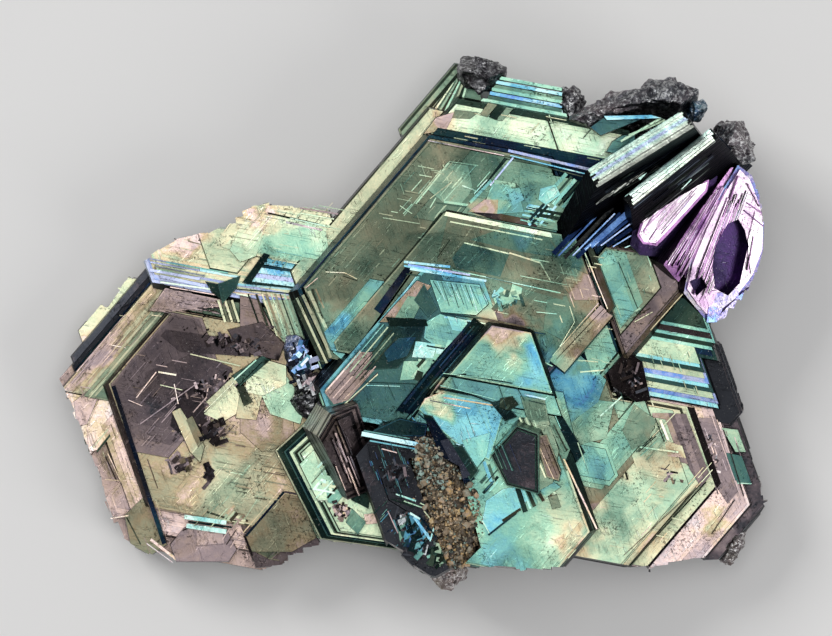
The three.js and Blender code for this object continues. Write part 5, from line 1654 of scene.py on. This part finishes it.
pile(DARK, [2.9, 3.4, 3.4, 2.4, 3.4, 5.4, 6.0], 1.1, 9.6, 0.32, 121, stagger=0.5, glow=0.18,
     azimuths=DARK_FACES, slope=0.08)
tablet(DARK, [2.8, 3.3, 3.3, 2.2, 3.2, 5.1, 5.7], 9.0, 9.78, 1.02, 0.35, cut=-0.3,
       azimuths=DARK_FACES, slope=0.15)
tablet(DARK, [2.4, 3.0, 2.6, 1.2, 1.3, 1.9], 9.2, 10.2, 1.05, 0.30, cut=-0.3,
       azimuths=[20, 79.5, 139.5, 199.5, 238, 259.5], slope=0.15)
plates([
    ((374, 430, 400, 418, 427, 424, 425, 436, 370, 434), 10, 10.36, 0.24, 0.08, 0.05, (-0.2, 4)),
    ((424, 414, 432, 416, 474, 478, 462, 484, 442, 460), 10, 10.42, 0.1, 0.05),
    ((440, 440, 448, 438, 470, 474, 460, 480), 10, 10.5, 0.02, 0.12),
    ((452, 446, 462, 444, 478, 470, 470, 480), 10, 10.46, 0.33, 0.1, 0.04, (0, 5)),
])
strips([
    (362, 433, 424, 445, 0.26, 0.22, 1.6), (364, 430, 410, 438, 0.07, 0.28, 0.6),
    (370, 440, 420, 449, 0.08, 0.2, 0.9), (382, 448, 397, 452, 0.06, 0.8, 1),
    (456, 443, 464, 446, 0.06, 0.22, 1.5),
], 10.44, 0.004)
strokes((366, 446), (410, 500), STEEP, 46, 10.42, 0.20, 117, length=(0.1, 1.0), width=(0.02, 0.06),
        glow=(0.05, 0.5), spill=0.16)
strokes((376, 500), (440, 560), RISING, 40, 9.98, 0.22, 116, length=(0.1, 0.8), width=(0.02, 0.06),
        glow=(0.05, 0.9), spill=0.16)
plates([
    ((368, 444, 412, 450, 420, 468, 408, 486, 388, 486, 372, 466), 9.8, 10.40, 1.05, 0.22),
], slope=0.02)
shards((366, 442, 420, 448, 428, 478, 404, 500, 380, 500, 366, 468), 10.15, 130, 1.02, 119,
       azimuths=(STEEP, 100, RISING, 20, 75, FALLING), glow=(0.08, 0.15, 0.3, 0.6), lift=0.34,
       length=(0.1, 0.6), width=(0.05, 0.2), sink=1.2)
shards((376, 500, 400, 490, 430, 520, 446, 570, 420, 570, 394, 540), 9.62, 170, 0.98, 118,
       azimuths=(STEEP, 100, RISING, 20, 75, FALLING), glow=(0.15, 0.3, 0.6, 1.6), lift=0.4,
       length=(0.15, 0.9), width=(0.06, 0.3), sink=1.2)
shards((362, 450, 388, 450, 400, 520, 378, 500), 9.3, 30, 0.05, 122, azimuths=(STEEP, 100, RISING),
       glow=(0.05, 0.10, 0.25), lift=0.4)
strips([
    (396, 493, 416, 500, 0.1, 0.3, 1.2), (392, 498, 414, 506, 0.08, 0.3, 0.06),
    (404, 500, 426, 508, 0.07, 0.45, 0.9), (410, 512, 420, 518, 0.12, 0.24, 1.5),
    (414, 516, 430, 538, 0.16, 0.14, 1.2), (419, 514, 436, 536, 0.1, 0.1, 0.06),
    (424, 510, 442, 532, 0.07, 0.6, 0.8), (430, 540, 434, 526, 0.08, 0.24, 1.2),
    (420, 502, 440, 512, 0.06, 0.5, 0.9), (388, 510, 398, 532, 0.06, 0.85, 0.9),
], 10.34, rise=0, height=1.2)
plates([((398, 526, 410, 520, 420, 530, 412, 542, 400, 540), 9, 9.96, 0.38, 0.55)])
shards((390, 500, 420, 500, 452, 560, 420, 570, 392, 540), 9.68, 110, 0.20, 123,
       glow=(0.03, 0.06, 0.12, 0.6), lift=0.5, azimuths=(RISING, STEEP, 75, 20), length=(0.2, 0.9),
       width=(0.06, 0.35))
shards((424, 536, 446, 545, 452, 566, 430, 572), 9.68, 50, 0.40, 124, glow=(0.04, 0.12, 0.7),
       lift=0.4, azimuths=(RISING, 80, 20), length=(0.2, 0.7))

PURPLE_FACES = [19.5, 110, 150, 207, 290]
PURPLE_PLACE = ((-4.2, -7.5, 9.3), 24, 325)
for level, (film, glow, inset) in enumerate(
        [(0.86, 0.25, 0.0), (0.95, 0.10, 0.12), (0.84, 0.22, 0.3), (0.97, 0.10, 0.5),
         (0.90, 0.15, 0.75)]):
    purple = tablet((0, 0), [1.6 - inset, 2.4 - inset * 0.5, 1.9 - inset * 0.4, 1.1, 3.0 - inset],
                    -2.6, 0.07 * level, film, glow, cut=0.2, slope=0.1, azimuths=PURPLE_FACES)
    tip(purple, *PURPLE_PLACE)
dice = random.Random(125)
for number in range(16):
    splinter = add_block(
        (dice.uniform(-1.0, 0.6), dice.uniform(-2, 1.6), 0.25),
        (dice.uniform(0.8, 2.4), dice.uniform(0.04, 0.12), dice.uniform(0.3, 0.7)),
        (0, 0, radians(-66)))
    paint_faces(splinter, 0.88 + dice.uniform(-0.1, 0.1), dice.choice((0.08, 0.3, 0.8)), 0.1)
    grow(splinter)
    tip(splinter, *PURPLE_PLACE)

SLATE_FACES = [0, 70, 139.5, 207, 255]
SLATE_PLACE = ((5.9, -7.7, 10.8), 14, 250)
for level, (film, glow, inset, cut) in enumerate(
        [(0.40, 0.70, 0.0, 0.4), (1.02, 0.30, 0.08, 0.0), (0.36, 0.30, 0.16, 0.5),
         (1.00, 0.80, 0.24, 0.0)]):
    slate = tablet((0, 0), [1.5 - inset, 1.7 - inset, 1.0 - inset, 1.3 - inset, 2.0 - inset],
                   -1.2, 0.05 * level, film, glow, cut=cut, slope=0.06, azimuths=SLATE_FACES)
    tip(slate, *SLATE_PLACE)
for across, film, glow in [(-0.95, 0.34, 0.9), (-0.86, 0.30, 0.3), (-0.70, 0.30, 0.6),
                           (-0.40, 0.30, 1.1), (-0.32, 0.28, 0.3), (0.1, 0.02, 0.35)]:
    line = add_block((across, -0.2, 0.14), (1.9 - 0.5 * abs(across), 0.05, 0.2),
                     (0, 0, radians(-68)))
    paint_faces(line, film, glow, 0.1)
    grow(line)
    tip(line, *SLATE_PLACE)
ragged_break((394, 545, 404, 562, 418, 572, 440, 582), 235, 126, bite=0.3)
open_crust_seat()
join_crystal("dark_crystals", TARNISHED, "crystal_cluster")

# ---------------------------------------------------------------- the steel-coloured blades
# Tablets that stand almost on edge at the far right corner, pale and finely striated along
# their crests, with painted highlights, and painted near black on their broad faces, as shade.

STEEL_COLOURS = [
    (0.00, (0.010, 0.014, 0.050)),
    (0.15, (0.030, 0.080, 0.260)),
    (0.30, (0.160, 0.300, 0.560)),
    (0.42, (0.420, 0.480, 0.680)),
    (0.55, (0.380, 0.620, 0.560)),
    (0.68, (0.560, 0.720, 0.600)),
    (0.80, (0.620, 0.660, 0.560)),
    (0.90, (0.300, 0.320, 0.310)),
    (1.00, (0.040, 0.045, 0.050)),
]
STEEL = polybasite("steel_polybasite", STEEL_COLOURS, [], (0.66, 0.74, 0.74, 1), seed=11.0)


def apply_place(pieces, placing):
    """moves pieces made around the origin to their place on the specimen"""
    select_only(*pieces)
    for piece in pieces:
        piece.matrix_world = placing @ piece.matrix_world
    settle()


def ridge(place, size, film, glow):
    """one narrow growth layer that stands out from a blade"""
    piece = add_block(place, size)
    paint_faces(piece, film, glow, 0.1)
    growing.append(piece)


def blade(crest, azimuth, lean, length, depth, thickness, start_cut, end_cut, crest_lines, seed,
          shaded_body_film=0.97):
    """a tablet on edge: its crest runs level through a point, its ends are cut on the slant; its
    body is painted dark, as shade. Each crest line is width, film, painted brightness"""
    dice = random.Random(seed)
    made = len(growing)
    piece = add_block((0, 0, -depth / 2), (length, thickness, depth))
    bpy.ops.object.mode_set(mode="EDIT")
    cleave(Vector((-length / 2 + start_cut, 0, 0)), Vector((-depth, 0, start_cut)))
    cleave(Vector((length / 2 - end_cut, 0, 0)), Vector((depth, 0, end_cut)))
    bpy.ops.object.mode_set(mode="OBJECT")
    paint_faces(piece, shaded_body_film, 0.10, -0.02)
    growing.append(piece)
    across = thickness / 2
    start, end = -length / 2 + start_cut, length / 2 - end_cut
    for width, film, glow in crest_lines:
        low, high = start + dice.uniform(-0.1, 0.5), end - dice.uniform(0.0, 0.35)
        ridge(((low + high) / 2, across - width / 2, -0.08), (high - low, width * 1.04,
              0.16 + dice.uniform(0.03, 0.09)), film, glow * 0.87)
        across -= width
    for number in range(18):
        run = dice.uniform(0.8, 4.0)
        middle = dice.uniform(start + run / 2, end - run / 2)
        side = dice.choice((-1, 1))
        ridge((middle, side * thickness / 2, -dice.uniform(0.25, depth * 0.6)),
              (run, dice.uniform(0.03, 0.12), dice.uniform(0.05, 0.5)), dice.uniform(0.1, 0.9),
              dice.choice((0.04, 0.08, 0.3)))
    placing = (Matrix.Translation(crest) @ Matrix.Rotation(radians(azimuth), 4, "Z")
               @ Matrix.Rotation(radians(-lean), 4, "X"))
    apply_place(growing[made:], placing)


blade((11.8, 9.5, 12.0), 32.0, 27, 11.2, 4.9, 1.3, 4.1, 0.3, [
    (0.08, 0.60, 0.90), (0.16, 0.66, 0.90), (0.15, 0.70, 0.95), (0.10, 0.56, 0.88),
    (0.14, 0.42, 0.90), (0.10, 0.46, 0.92), (0.13, 0.66, 0.84), (0.14, 0.74, 0.85),
    (0.06, 0.86, 0.55), (0.12, 0.78, 0.80), (0.18, 0.84, 0.65)], 131)
# The second blade's crest lines are painted brighter: a painted highlight where the first blade
# shades it.
blade((14.84, 9.05, 11.4), 38.5, 30, 8.1, 4.2, 0.8, 1.2, 0.2, [
    (0.06, 0.55, 0.90), (0.17, 0.60, 1.60), (0.04, 0.97, 0.12), (0.16, 0.66, 1.80),
    (0.04, 0.97, 0.12), (0.18, 0.72, 1.50), (0.05, 0.90, 0.3), (0.14, 0.76, 1.10)], 132)
blade((15.8, 8.8, 9.4), 44.0, 34, 7.4, 4.0, 0.8, 1.8, 0.3, [
    (0.08, 0.30, 0.80), (0.16, 0.05, 0.20), (0.08, 0.25, 0.90), (0.20, 0.98, 0.10),
    (0.08, 0.20, 0.60), (0.20, 0.98, 0.10)], 133, shaded_body_film=0.20)
bars([
    (638, 180, 656, 160, 0.16, 10.6, 0.6, 1.0), (641, 182, 657, 164, 0.06, 10.7, 0.97, 0.1),
    (553, 254, 600, 205, 0.3, 9.2, 0.12, 0.3), (558, 256, 604, 208, 0.1, 9.3, 0.24, 0.9),
    (564, 258, 612, 208, 0.22, 9.2, 0.97, 0.15), (572, 256, 614, 214, 0.08, 9.3, 0.3, 1.1),
    (576, 258, 620, 214, 0.26, 9.2, 0.1, 0.25), (584, 250, 630, 208, 0.14, 9.5, 0.22, 0.8),
    (590, 247, 640, 203, 0.26, 9.6, 0.2, 0.9), (596, 246, 640, 210, 0.16, 9.5, 0.14, 0.4),
    (600, 246, 646, 212, 0.08, 9.6, 0.36, 1.1), (606, 246, 650, 216, 0.22, 9.4, 0.05, 0.25),
    (612, 247, 650, 224, 0.07, 9.3, 0.3, 1.0), (618, 247, 646, 234, 0.2, 9.0, 0.97, 0.1),
    (624, 248, 644, 240, 0.06, 8.9, 0.5, 1.0), (680, 190, 690, 180, 0.06, 10.2, 0.55, 1.0),
    (668, 190, 686, 172, 0.1, 10.3, 0.2, 0.8),
], height=1.8)
for number in range(26):
    start = 600 + 3.0 * (number % 13)
    row = 196 - 1.9 * (number % 13) + 5 * (number // 13)
    bar((start - 5, row + 4), (start + 7, row - 6), 0.05 + 0.02 * (number % 3), 10.9, 0.85,
        (0.08, 0.5, 0.15, 0.9)[number % 4], height=0.8)
join_crystal("steel_blades", STEEL, "crystal_cluster")

# ---------------------------------------------------------------- the violet blades
# Tablets tipped down to the right, with a thick violet and pink film and a hollow eaten into
# the broadest one.

VIOLET_COLOURS = [
    (0.00, (0.010, 0.008, 0.026)),
    (0.14, (0.045, 0.032, 0.085)),
    (0.28, (0.090, 0.030, 0.160)),
    (0.42, (0.280, 0.120, 0.330)),
    (0.56, (0.560, 0.300, 0.560)),
    (0.70, (0.700, 0.500, 0.700)),
    (0.82, (0.820, 0.660, 0.780)),
    (0.90, (0.860, 0.800, 0.820)),
    (0.96, (0.300, 0.260, 0.640)),
    (1.00, (0.240, 0.480, 0.780)),
]
VIOLET = polybasite("violet_polybasite", VIOLET_COLOURS, [], (0.60, 0.44, 0.66, 1), seed=23.0)


def on_plane(point, place, dip, toward):
    """where a point of the grid, seen from above, lies on a tipped plane"""
    flat = Matrix([row[:2] for row in lean_of(dip, toward).to_3x3()[:2]]).inverted()
    return flat @ (Vector(at(*point)) - Vector(place[:2]))


def leaning_slab(corners, place, dip, toward, thickness, level, film, glow, **finish):
    """a slab on a tipped plane whose corners, seen from above, lie on the grid"""
    points = [on_plane(corner, place, dip, toward) for corner in pairs(corners)]
    piece = slab(points, level - thickness, level, film, glow, **finish)
    tip(piece, place, dip, toward)
    return piece


def leaning_lines(lines, place, dip, toward, level, wobble=0.0, seed=0):
    """narrow ridges on a tipped plane; each is start, end, width, film, brightness"""
    dice = random.Random(seed)
    for column, row, to_column, to_row, width, film, glow in lines:
        start, end = (on_plane(point, place, dip, toward)
                      for point in ((column, row), (to_column, to_row)))
        piece = add_line(start, end, level + dice.uniform(-wobble, wobble) - 0.1, width, 0.24)
        paint_faces(piece, film, glow, 0.1)
        grow(piece)
        tip(piece, place, dip, toward)


def fanned(from_ends, to_ends, count, films, glows, seed, width=(0.03, 0.1)):
    """lines that run from one edge to another, each edge given by its two ends on the grid"""
    dice = random.Random(seed)
    lines = []
    (first, last), (to_first, to_last) = (
        [Vector(corner) for corner in pairs(ends)] for ends in (from_ends, to_ends))
    for number in range(count):
        share = (number + dice.random()) / count
        start, end = first.lerp(last, share), to_first.lerp(to_last, share)
        low, high = dice.uniform(0.0, 0.35), dice.uniform(0.6, 1.0)
        lines.append((*start.lerp(end, low), *start.lerp(end, high),
                      dice.uniform(*width), dice.choice(films) + dice.uniform(-0.04, 0.04),
                      dice.choice(glows) * dice.uniform(0.8, 1.2)))
    return lines


LENS = ((14.9, 6.7, 9.2), 26, 322)
FAN = ((16.4, 6.3, 9.0), 35, 333)
BROAD = ((18.8, 4.8, 7.6), 30, 334)

leaning_slab((630, 246, 634, 222, 652, 200, 684, 180, 718, 172, 714, 196, 690, 230, 664, 258,
             640, 256), *LENS, 2.2, -0.12, 0.16, 0.5, cut=0.0)
leaning_slab((636, 236, 642, 216, 660, 200, 684, 188, 708, 180, 706, 192, 686, 214, 668, 234,
             656, 246, 642, 244), *LENS, 0.4, 0.02, 0.50, 0.8, cut=0.2)
leaning_slab((638, 234, 644, 217, 662, 201, 686, 190, 706, 182, 703, 192, 684, 212, 666, 232,
             655, 243, 643, 242), *LENS, 0.4, 0.06, 0.84, 1.1, cut=0.3)
leaning_lines(fanned((640, 222, 656, 240), (676, 192, 700, 186), 26, (0.72, 0.80, 0.88),
              (0.85, 1.1, 1.2), 141, width=(0.02, 0.05)), *LENS, 0.09, 0.01, 141)
leaning_lines([
    (642, 232, 652, 214, 0.04, 0.5, 0.8), (648, 240, 672, 204, 0.04, 0.6, 0.9),
    (660, 234, 690, 196, 0.03, 0.6, 0.9), (655, 218, 664, 206, 0.03, 0.5, 0.8),
], *LENS, 0.11)

# The fan slab's film and brightness are raised: painted light where its steep tilt leaves it dark.
leaning_slab((662, 266, 684, 232, 708, 197, 730, 168, 742, 168, 724, 200, 706, 236, 692, 272,
             684, 290, 672, 276), *FAN, 2.8, 0.0, 0.56, 1.0, cut=0.0)
leaning_lines(fanned((664, 262, 686, 288), (712, 190, 738, 172), 70,
              (0.44, 0.50, 0.56, 0.62, 0.70, 0.80), (0.7, 0.9, 1.1, 1.3), 142), *FAN, 0.10, 0.04,
              142)
leaning_lines(fanned((674, 272, 684, 286), (722, 184, 736, 174), 18, (0.56, 0.70, 0.80), (0.9, 1.1),
              143, width=(0.03, 0.09)), *FAN, 0.17, 0.02, 143)

leaning_slab((684, 294, 690, 264, 704, 228, 722, 192, 738, 166, 752, 176, 760, 196, 765, 216,
             764, 250, 756, 280, 740, 302, 718, 322, 706, 320, 696, 308), *BROAD, 2.4, -0.14, 0.96,
             0.6, cut=0.0)
leaning_slab((686, 292, 692, 264, 706, 229, 724, 194, 739, 170, 749, 180, 757, 200, 763, 220,
             762, 250, 752, 276, 736, 296, 716, 312, 704, 314, 697, 304), *BROAD, 0.6, 0.0, 0.80,
             1.0, cut=0.2)
leaning_slab((688, 292, 695, 265, 709, 230, 727, 196, 740, 176, 748, 186, 752, 204, 742, 214,
             728, 221, 716, 240, 708, 262, 703, 284, 698, 294), *BROAD, 0.6, 0.07, 0.85, 1.12,
             cut=0.3)
leaning_slab((742, 216, 752, 208, 761, 222, 761, 248, 752, 272, 744, 280, 740, 268, 746, 244),
             *BROAD, 0.6, 0.10, 0.88, 1.15, cut=0.3)
leaning_slab((712, 294, 738, 288, 738, 296, 716, 312, 706, 306), *BROAD, 0.6, 0.05, 0.95, 0.9,
             cut=0.3)
leaning_slab((704, 292, 716, 290, 712, 304, 704, 308, 698, 302), *BROAD, 0.6, 0.08, 0.70, 1.0,
             cut=0.3)
leaning_slab((738, 296, 754, 280, 748, 296, 724, 318, 712, 322, 718, 310), *BROAD, 0.8, 0.03, 0.97,
             1.0, cut=0.3)
leaning_slab((708, 306, 722, 308, 716, 322, 706, 322), *BROAD, 0.8, 0.05, 1.0, 1.2, cut=0.3)
leaning_lines(fanned((690, 290, 708, 300), (727, 196, 748, 190), 46, (0.56, 0.66, 0.74, 0.86, 0.90),
              (0.7, 1.0, 1.15), 144, width=(0.02, 0.07)), *BROAD, 0.12, 0.02, 144)
leaning_lines(fanned((706, 262, 712, 284), (724, 214, 732, 212), 10, (0.30, 0.44, 0.52), (0.4, 0.8),
              145, width=(0.02, 0.06)), *BROAD, 0.13, 0.02, 145)
leaning_lines([
    (742, 210, 762, 226, 0.06, 0.40, 0.7), (746, 203, 762, 214, 0.06, 0.50, 0.8),
    (752, 236, 746, 270, 0.05, 0.60, 0.9), (698, 268, 692, 294, 0.05, 0.40, 0.7),
    (736, 176, 728, 200, 0.05, 0.5, 0.8), (746, 184, 758, 206, 0.07, 0.66, 0.8),
], *BROAD, 0.16)
# Each hollow's faces are painted a dark film: painted shade inside the hollow.
for corners, depth, film in [
        ((727, 226, 736, 222, 742, 232, 745, 246, 741, 264, 737, 282, 727, 292, 716, 286, 713, 266,
          716, 246), 0.7, 0.11),
        ((693, 283, 699, 280, 702, 286, 697, 291), 0.4, 0.16)]:
    hollow = leaning_slab(corners, *BROAD, 2.0 + depth, 2.0, film, 0.9, cut=0.0, slope=0.25)
    growing.remove(hollow)
    for face in range(len(hollow.data.polygons)):
        hollow.data.attributes["cut_edge"].data[face].value = 0.0
        hollow.data.attributes["film"].data[face].value = film + 0.06 * (face % 3)
    breaking.append(hollow)
ragged_break((756, 175, 762, 200, 766, 240, 760, 268, 745, 298, 722, 322), -10, 147, bite=0.15,
             every=0.6, film=0.6)
join_crystal("violet_blades", VIOLET, "crystal_cluster")

# ---------------------------------------------------------------- the broken lumps
# Lumps of the same mineral without crystal faces: dark rubble with painted glints behind the
# blades, and small ones wedged between the crystals.

# Each lump: place, half its size and turn, seed, breaks, film, brightness, which sets its painted
# glints.
LUMPS = [
    ((4.0, 15.0, 5.4), (1.4, 0.95, 2.2), -10, 3, 9, 0.90, 0.10),
    ((9.3, 13.2, 4.6), (0.8, 0.9, 1.6), -20, 4, 7, 0.98, 0.45),
    ((11.5, 12.8, 6.6), (2.3, 0.7, 2.9), 22, 17, 10, 0.98, 1.10),
    ((13.2, 13.3, 6.8), (2.2, 0.75, 3.0), 8, 5, 9, 0.98, 1.30),
    ((15.2, 13.6, 7.0), (1.7, 0.95, 2.9), -8, 16, 9, 0.98, 1.30),
    ((16.8, 12.8, 7.4), (0.5, 0.6, 2.3), -30, 6, 6, 0.12, 0.90),
    ((19.1, 10.8, 6.4), (1.0, 1.3, 2.4), 15, 7, 8, 0.95, 0.85),
    ((12.6, 8.7, 3.4), (4.4, 3.4, 2.9), 30, 8, 11, 0.90, 0.05),
    ((15.9, 6.7, 3.9), (3.0, 3.8, 2.6), 20, 9, 11, 0.90, 0.10),
    ((-6.9, -2.0, 4.4), (0.9, 1.4, 2.3), 8, 10, 7, 0.05, 1.20),
    ((-6.2, -4.5, 4.2), (1.1, 1.1, 2.3), -15, 11, 8, 0.98, 0.90),
    ((12.5, -3.4, 5.4), (0.8, 1.3, 1.8), 18, 12, 13, 0.90, 0.02),
    ((18.6, -12.8, 2.4), (1.3, 1.3, 1.4), 25, 13, 13, 0.80, 0.45),
    ((2.0, -14.9, 3.6), (1.0, 0.9, 2.2), 40, 14, 13, 0.78, 0.80),
    ((-4.4, -11.1, 5.9), (1.1, 0.6, 1.4), -6, 15, 13, 0.86, 0.60),
]
LUMP_GRAIN = 0.10
CHIPS = 16
# Turns by the golden angle spread the breaks and the chips evenly around a lump.
GOLDEN_TURN = 137.5

crumple = bpy.data.textures.new("crumple", "VORONOI")
crumple.noise_scale = 0.6
crumple.distance_metric = "MANHATTAN"
crackle = bpy.data.textures.new("crackle", "CLOUDS")
crackle.noise_scale = 0.22
crackle.noise_depth = 3


def even_dice(seed):
    """a plain seeded row of numbers from 0 to 1"""
    state = seed * 7919 + 17
    while True:
        state = (state * 16807) % 2147483647
        yield state / 2147483647


def roughen(piece, cell, crumple_by, crackle_by, keep):
    """gives a lump a rubble surface: even cells in mm, dents, a fine crackle, fewer facets"""
    remesh = piece.modifiers.new("even", "REMESH")
    remesh.mode = "VOXEL"
    remesh.voxel_size = cell
    bpy.context.view_layer.objects.active = piece
    bpy.ops.object.modifier_apply(modifier="even")
    for texture, strength in ((crumple, crumple_by), (crackle, crackle_by)):
        push = piece.modifiers.new("push", "DISPLACE")
        push.texture = texture
        push.texture_coords = "LOCAL"
        push.strength = strength
        push.mid_level = 0.6
        bpy.ops.object.modifier_apply(modifier="push")
    facets = piece.modifiers.new("facets", "DECIMATE")
    facets.ratio = keep
    bpy.ops.object.modifier_apply(modifier="facets")


for place, half, turn, seed, breaks, film, glow in LUMPS:
    dice = even_dice(seed)
    lump = add_block((0, 0, 0), (2, 2, 2))
    bpy.ops.object.mode_set(mode="EDIT")
    for count in range(breaks):
        azimuth = (count * GOLDEN_TURN + next(dice) * 50) % 360
        rise = -55 + 130 * ((count + next(dice)) / breaks)
        outward = compass(azimuth, rise)
        cleave(outward * (0.80 + 0.24 * next(dice)), outward)
    bpy.ops.object.mode_set(mode="OBJECT")
    lump.scale = half
    lump.rotation_euler = (0, 0, radians(turn))
    lump.location = place
    settle()
    chips = []
    for count in range(CHIPS):
        outward = compass((count * GOLDEN_TURN + next(dice) * 60) % 360, -20 + 95 * next(dice))
        spot = Matrix.Rotation(radians(turn), 3, "Z") @ Vector(o * h for o, h in zip(outward, half))
        size = min(half) * (0.45 + 0.5 * next(dice))
        chips.append(add_block(
            Vector(place) + spot * 0.82, turn=[6.28 * next(dice) for _ in range(3)],
            size=(size, size * (0.5 + next(dice)), size * (0.4 + 0.6 * next(dice)))))
    together(lump, chips, "UNION")
    roughen(lump, LUMP_GRAIN, 0.10, 0.12, 0.3)
    paint_faces(lump, film, glow, BROKEN)
    lump.data.attributes["cut_edge"].data.foreach_set(
        "value", [1.0 + BROKEN] * len(lump.data.polygons))
    growing.append(lump)
join_crystal("broken_lumps", TARNISHED, "crystal_cluster")

# ---------------------------------------------------------------- the brown-gold crust
# Another mineral, grown as small dull grains along the front crystal's left edge: tan, gold and
# brown, crowded on a rough bed.

GRAIN_SHAPES = 7
GRAIN_COUNT = 3500
FULL_TURN = 6.28
# Shades run from black and brown through tan and grey-green to gold; the black ones are partly dark
# grains and partly painted shade in the gaps.
# The back end is greener, and its lowest shade is mint, painted as glints.
SHADES = (0.04, 0.10, 0.28, 0.44, 0.54, 0.66, 0.80, 0.98)
BACK_SHADES = (-0.5, 0.04, 0.10, 0.16, 0.30, 0.58, 0.60, 0.62)

# The bed of the crust is rough, and painted dark, as shade between the grains.
crust_bed = []
for reaches, slopes, bottom, top in [
        ([reach + 0.06 for reach in CRUST_REACHES], [0] * 6, 5.4, 8.4),
        ([1.3, 2.6, 3.6, 1.0, 1.5, 2.3], [0.3, 0.3, 0.3, 0.3, 1.2, 0.6], 7.2, 9.9)]:
    crust_bed.append(tablet(CRUST_MIDDLE, reaches, bottom, top, 0.5, slope=slopes,
                            azimuths=CRUST_FACES))
growing.clear()
together(crust_bed[0], crust_bed[1:], "UNION")
bed = crust_bed[0]
roughen(bed, 0.14, 0.2, 0.25, 0.5)
for name in ("film", "glow", "cut_edge"):
    if name in bed.data.attributes:
        bed.data.attributes.remove(bed.data.attributes[name])
tint = bed.data.attributes.new("tint", "FLOAT", "FACE")
tint.data.foreach_set("value", [0.15] * len(bed.data.polygons))

grain_shapes = []
for number in range(GRAIN_SHAPES):
    dice = random.Random(160 + number)
    grain = add_block((0, 0, 0), (1, 1, 1))
    bpy.ops.object.mode_set(mode="EDIT")
    for _ in range(11):
        outward = Vector([dice.gauss(0, 1) for _ in range(3)]).normalized()
        cleave(outward * dice.uniform(0.40, 0.52), outward)
    bpy.ops.object.mode_set(mode="OBJECT")
    grain_shapes.append(grain)

# The grains lie in a long heap that is narrow at the back, wide in the middle and thin in front.
dice = random.Random(170)
crust_grains = []
for number in range(GRAIN_COUNT):
    along = dice.random()
    width = 0.5 + 1.3 * min(1.0, 2.2 * along) - 0.7 * max(0.0, along - 0.7) / 0.3
    across = max(-1.0, min(1.0, dice.gauss(0, 0.5))) * width
    x = 0.3 + 3.4 * along - 0.9 * along * along + across
    y = -6.9 - 7.3 * along + 0.25 * across + dice.uniform(-0.3, 0.3)
    size = dice.uniform(0.06, 0.14) if dice.random() < 0.90 else dice.uniform(0.18, 0.46)
    high = (10.4 - 0.36 * abs(across) - 1.3 * max(0.0, along - 0.72) / 0.28
            + dice.uniform(-0.35, 0.3))
    shape = grain_shapes[number % GRAIN_SHAPES]
    grain = shape.copy()
    grain.data = shape.data.copy()
    bpy.context.collection.objects.link(grain)
    grain.location = (x, y, high)
    grain.rotation_euler = [dice.uniform(0, FULL_TURN) for _ in range(3)]
    grain.scale = (size, size * dice.uniform(0.6, 1.0), size * dice.uniform(0.7, 1.4))
    golden = 0.18 if hypot(x - 1.7, y + 11.4) < 0.9 or hypot(x - 2.6, y + 9.8) < 0.6 else 0.0
    shades = BACK_SHADES if dice.random() > 1.6 * along else SHADES
    shade = dice.choice(shades) + golden
    layer = grain.data.attributes.new("tint", "FLOAT", "FACE")
    layer.data.foreach_set("value", [shade] * len(grain.data.polygons))
    crust_grains.append(grain)
for shape in grain_shapes:
    bpy.data.objects.remove(shape, do_unlink=True)
select_only(bed, *crust_grains)
bpy.ops.object.join()
bed.scale = (MM, MM, MM)
settle()
bed.name = "crust_grains"
bed.data.name = "crust_grains"

crust_paint = bpy.data.materials.new("brown_gold_grains")
crust_paint.use_nodes = True
tree = crust_paint.node_tree
brown = tree.nodes["Principled BSDF"]
place = position_mm(tree)
shade = attribute(tree, "tint")
mottle = noise(tree, place, 2.2, 4.0, 0.65)
speck = noise(tree, place, 12.0, 3.0, 0.6)
shade = maths(tree, "MULTIPLY_ADD", maths(tree, "SUBTRACT", mottle, 0.5), 0.9, shade)
# the lowest shade is mint, painted glints among the grains
colour = dyed(tree, shade, [
    (0.00, (0.300, 0.430, 0.370)), (0.03, (0.020, 0.016, 0.014)), (0.18, (0.075, 0.055, 0.035)),
    (0.34, (0.190, 0.140, 0.085)), (0.48, (0.330, 0.240, 0.150)), (0.60, (0.330, 0.335, 0.260)),
    (0.74, (0.560, 0.400, 0.270)), (0.88, (0.640, 0.420, 0.160)), (1.00, (0.720, 0.560, 0.340))])
colour = mixed(tree, fit(tree, speck, 0.60, 0.72, 0.0, 0.5), colour, (0.62, 0.56, 0.46, 1))
feed(tree, brown.inputs["Base Color"], colour)
brown.inputs["Metallic"].default_value = 0.0
feed(tree, brown.inputs["Roughness"], maths(tree, "MULTIPLY_ADD", speck, 0.4, 0.22))
bump = tree.nodes.new("ShaderNodeBump")
bump.inputs["Strength"].default_value = 0.7
bump.inputs["Distance"].default_value = 0.00006
feed(tree, bump.inputs["Height"], maths(tree, "ADD", mottle, speck))
feed(tree, brown.inputs["Normal"], bump.outputs["Normal"])
bed.data.materials.clear()
bed.data.materials.append(crust_paint)
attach(bed, "root")
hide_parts("brown_crust")
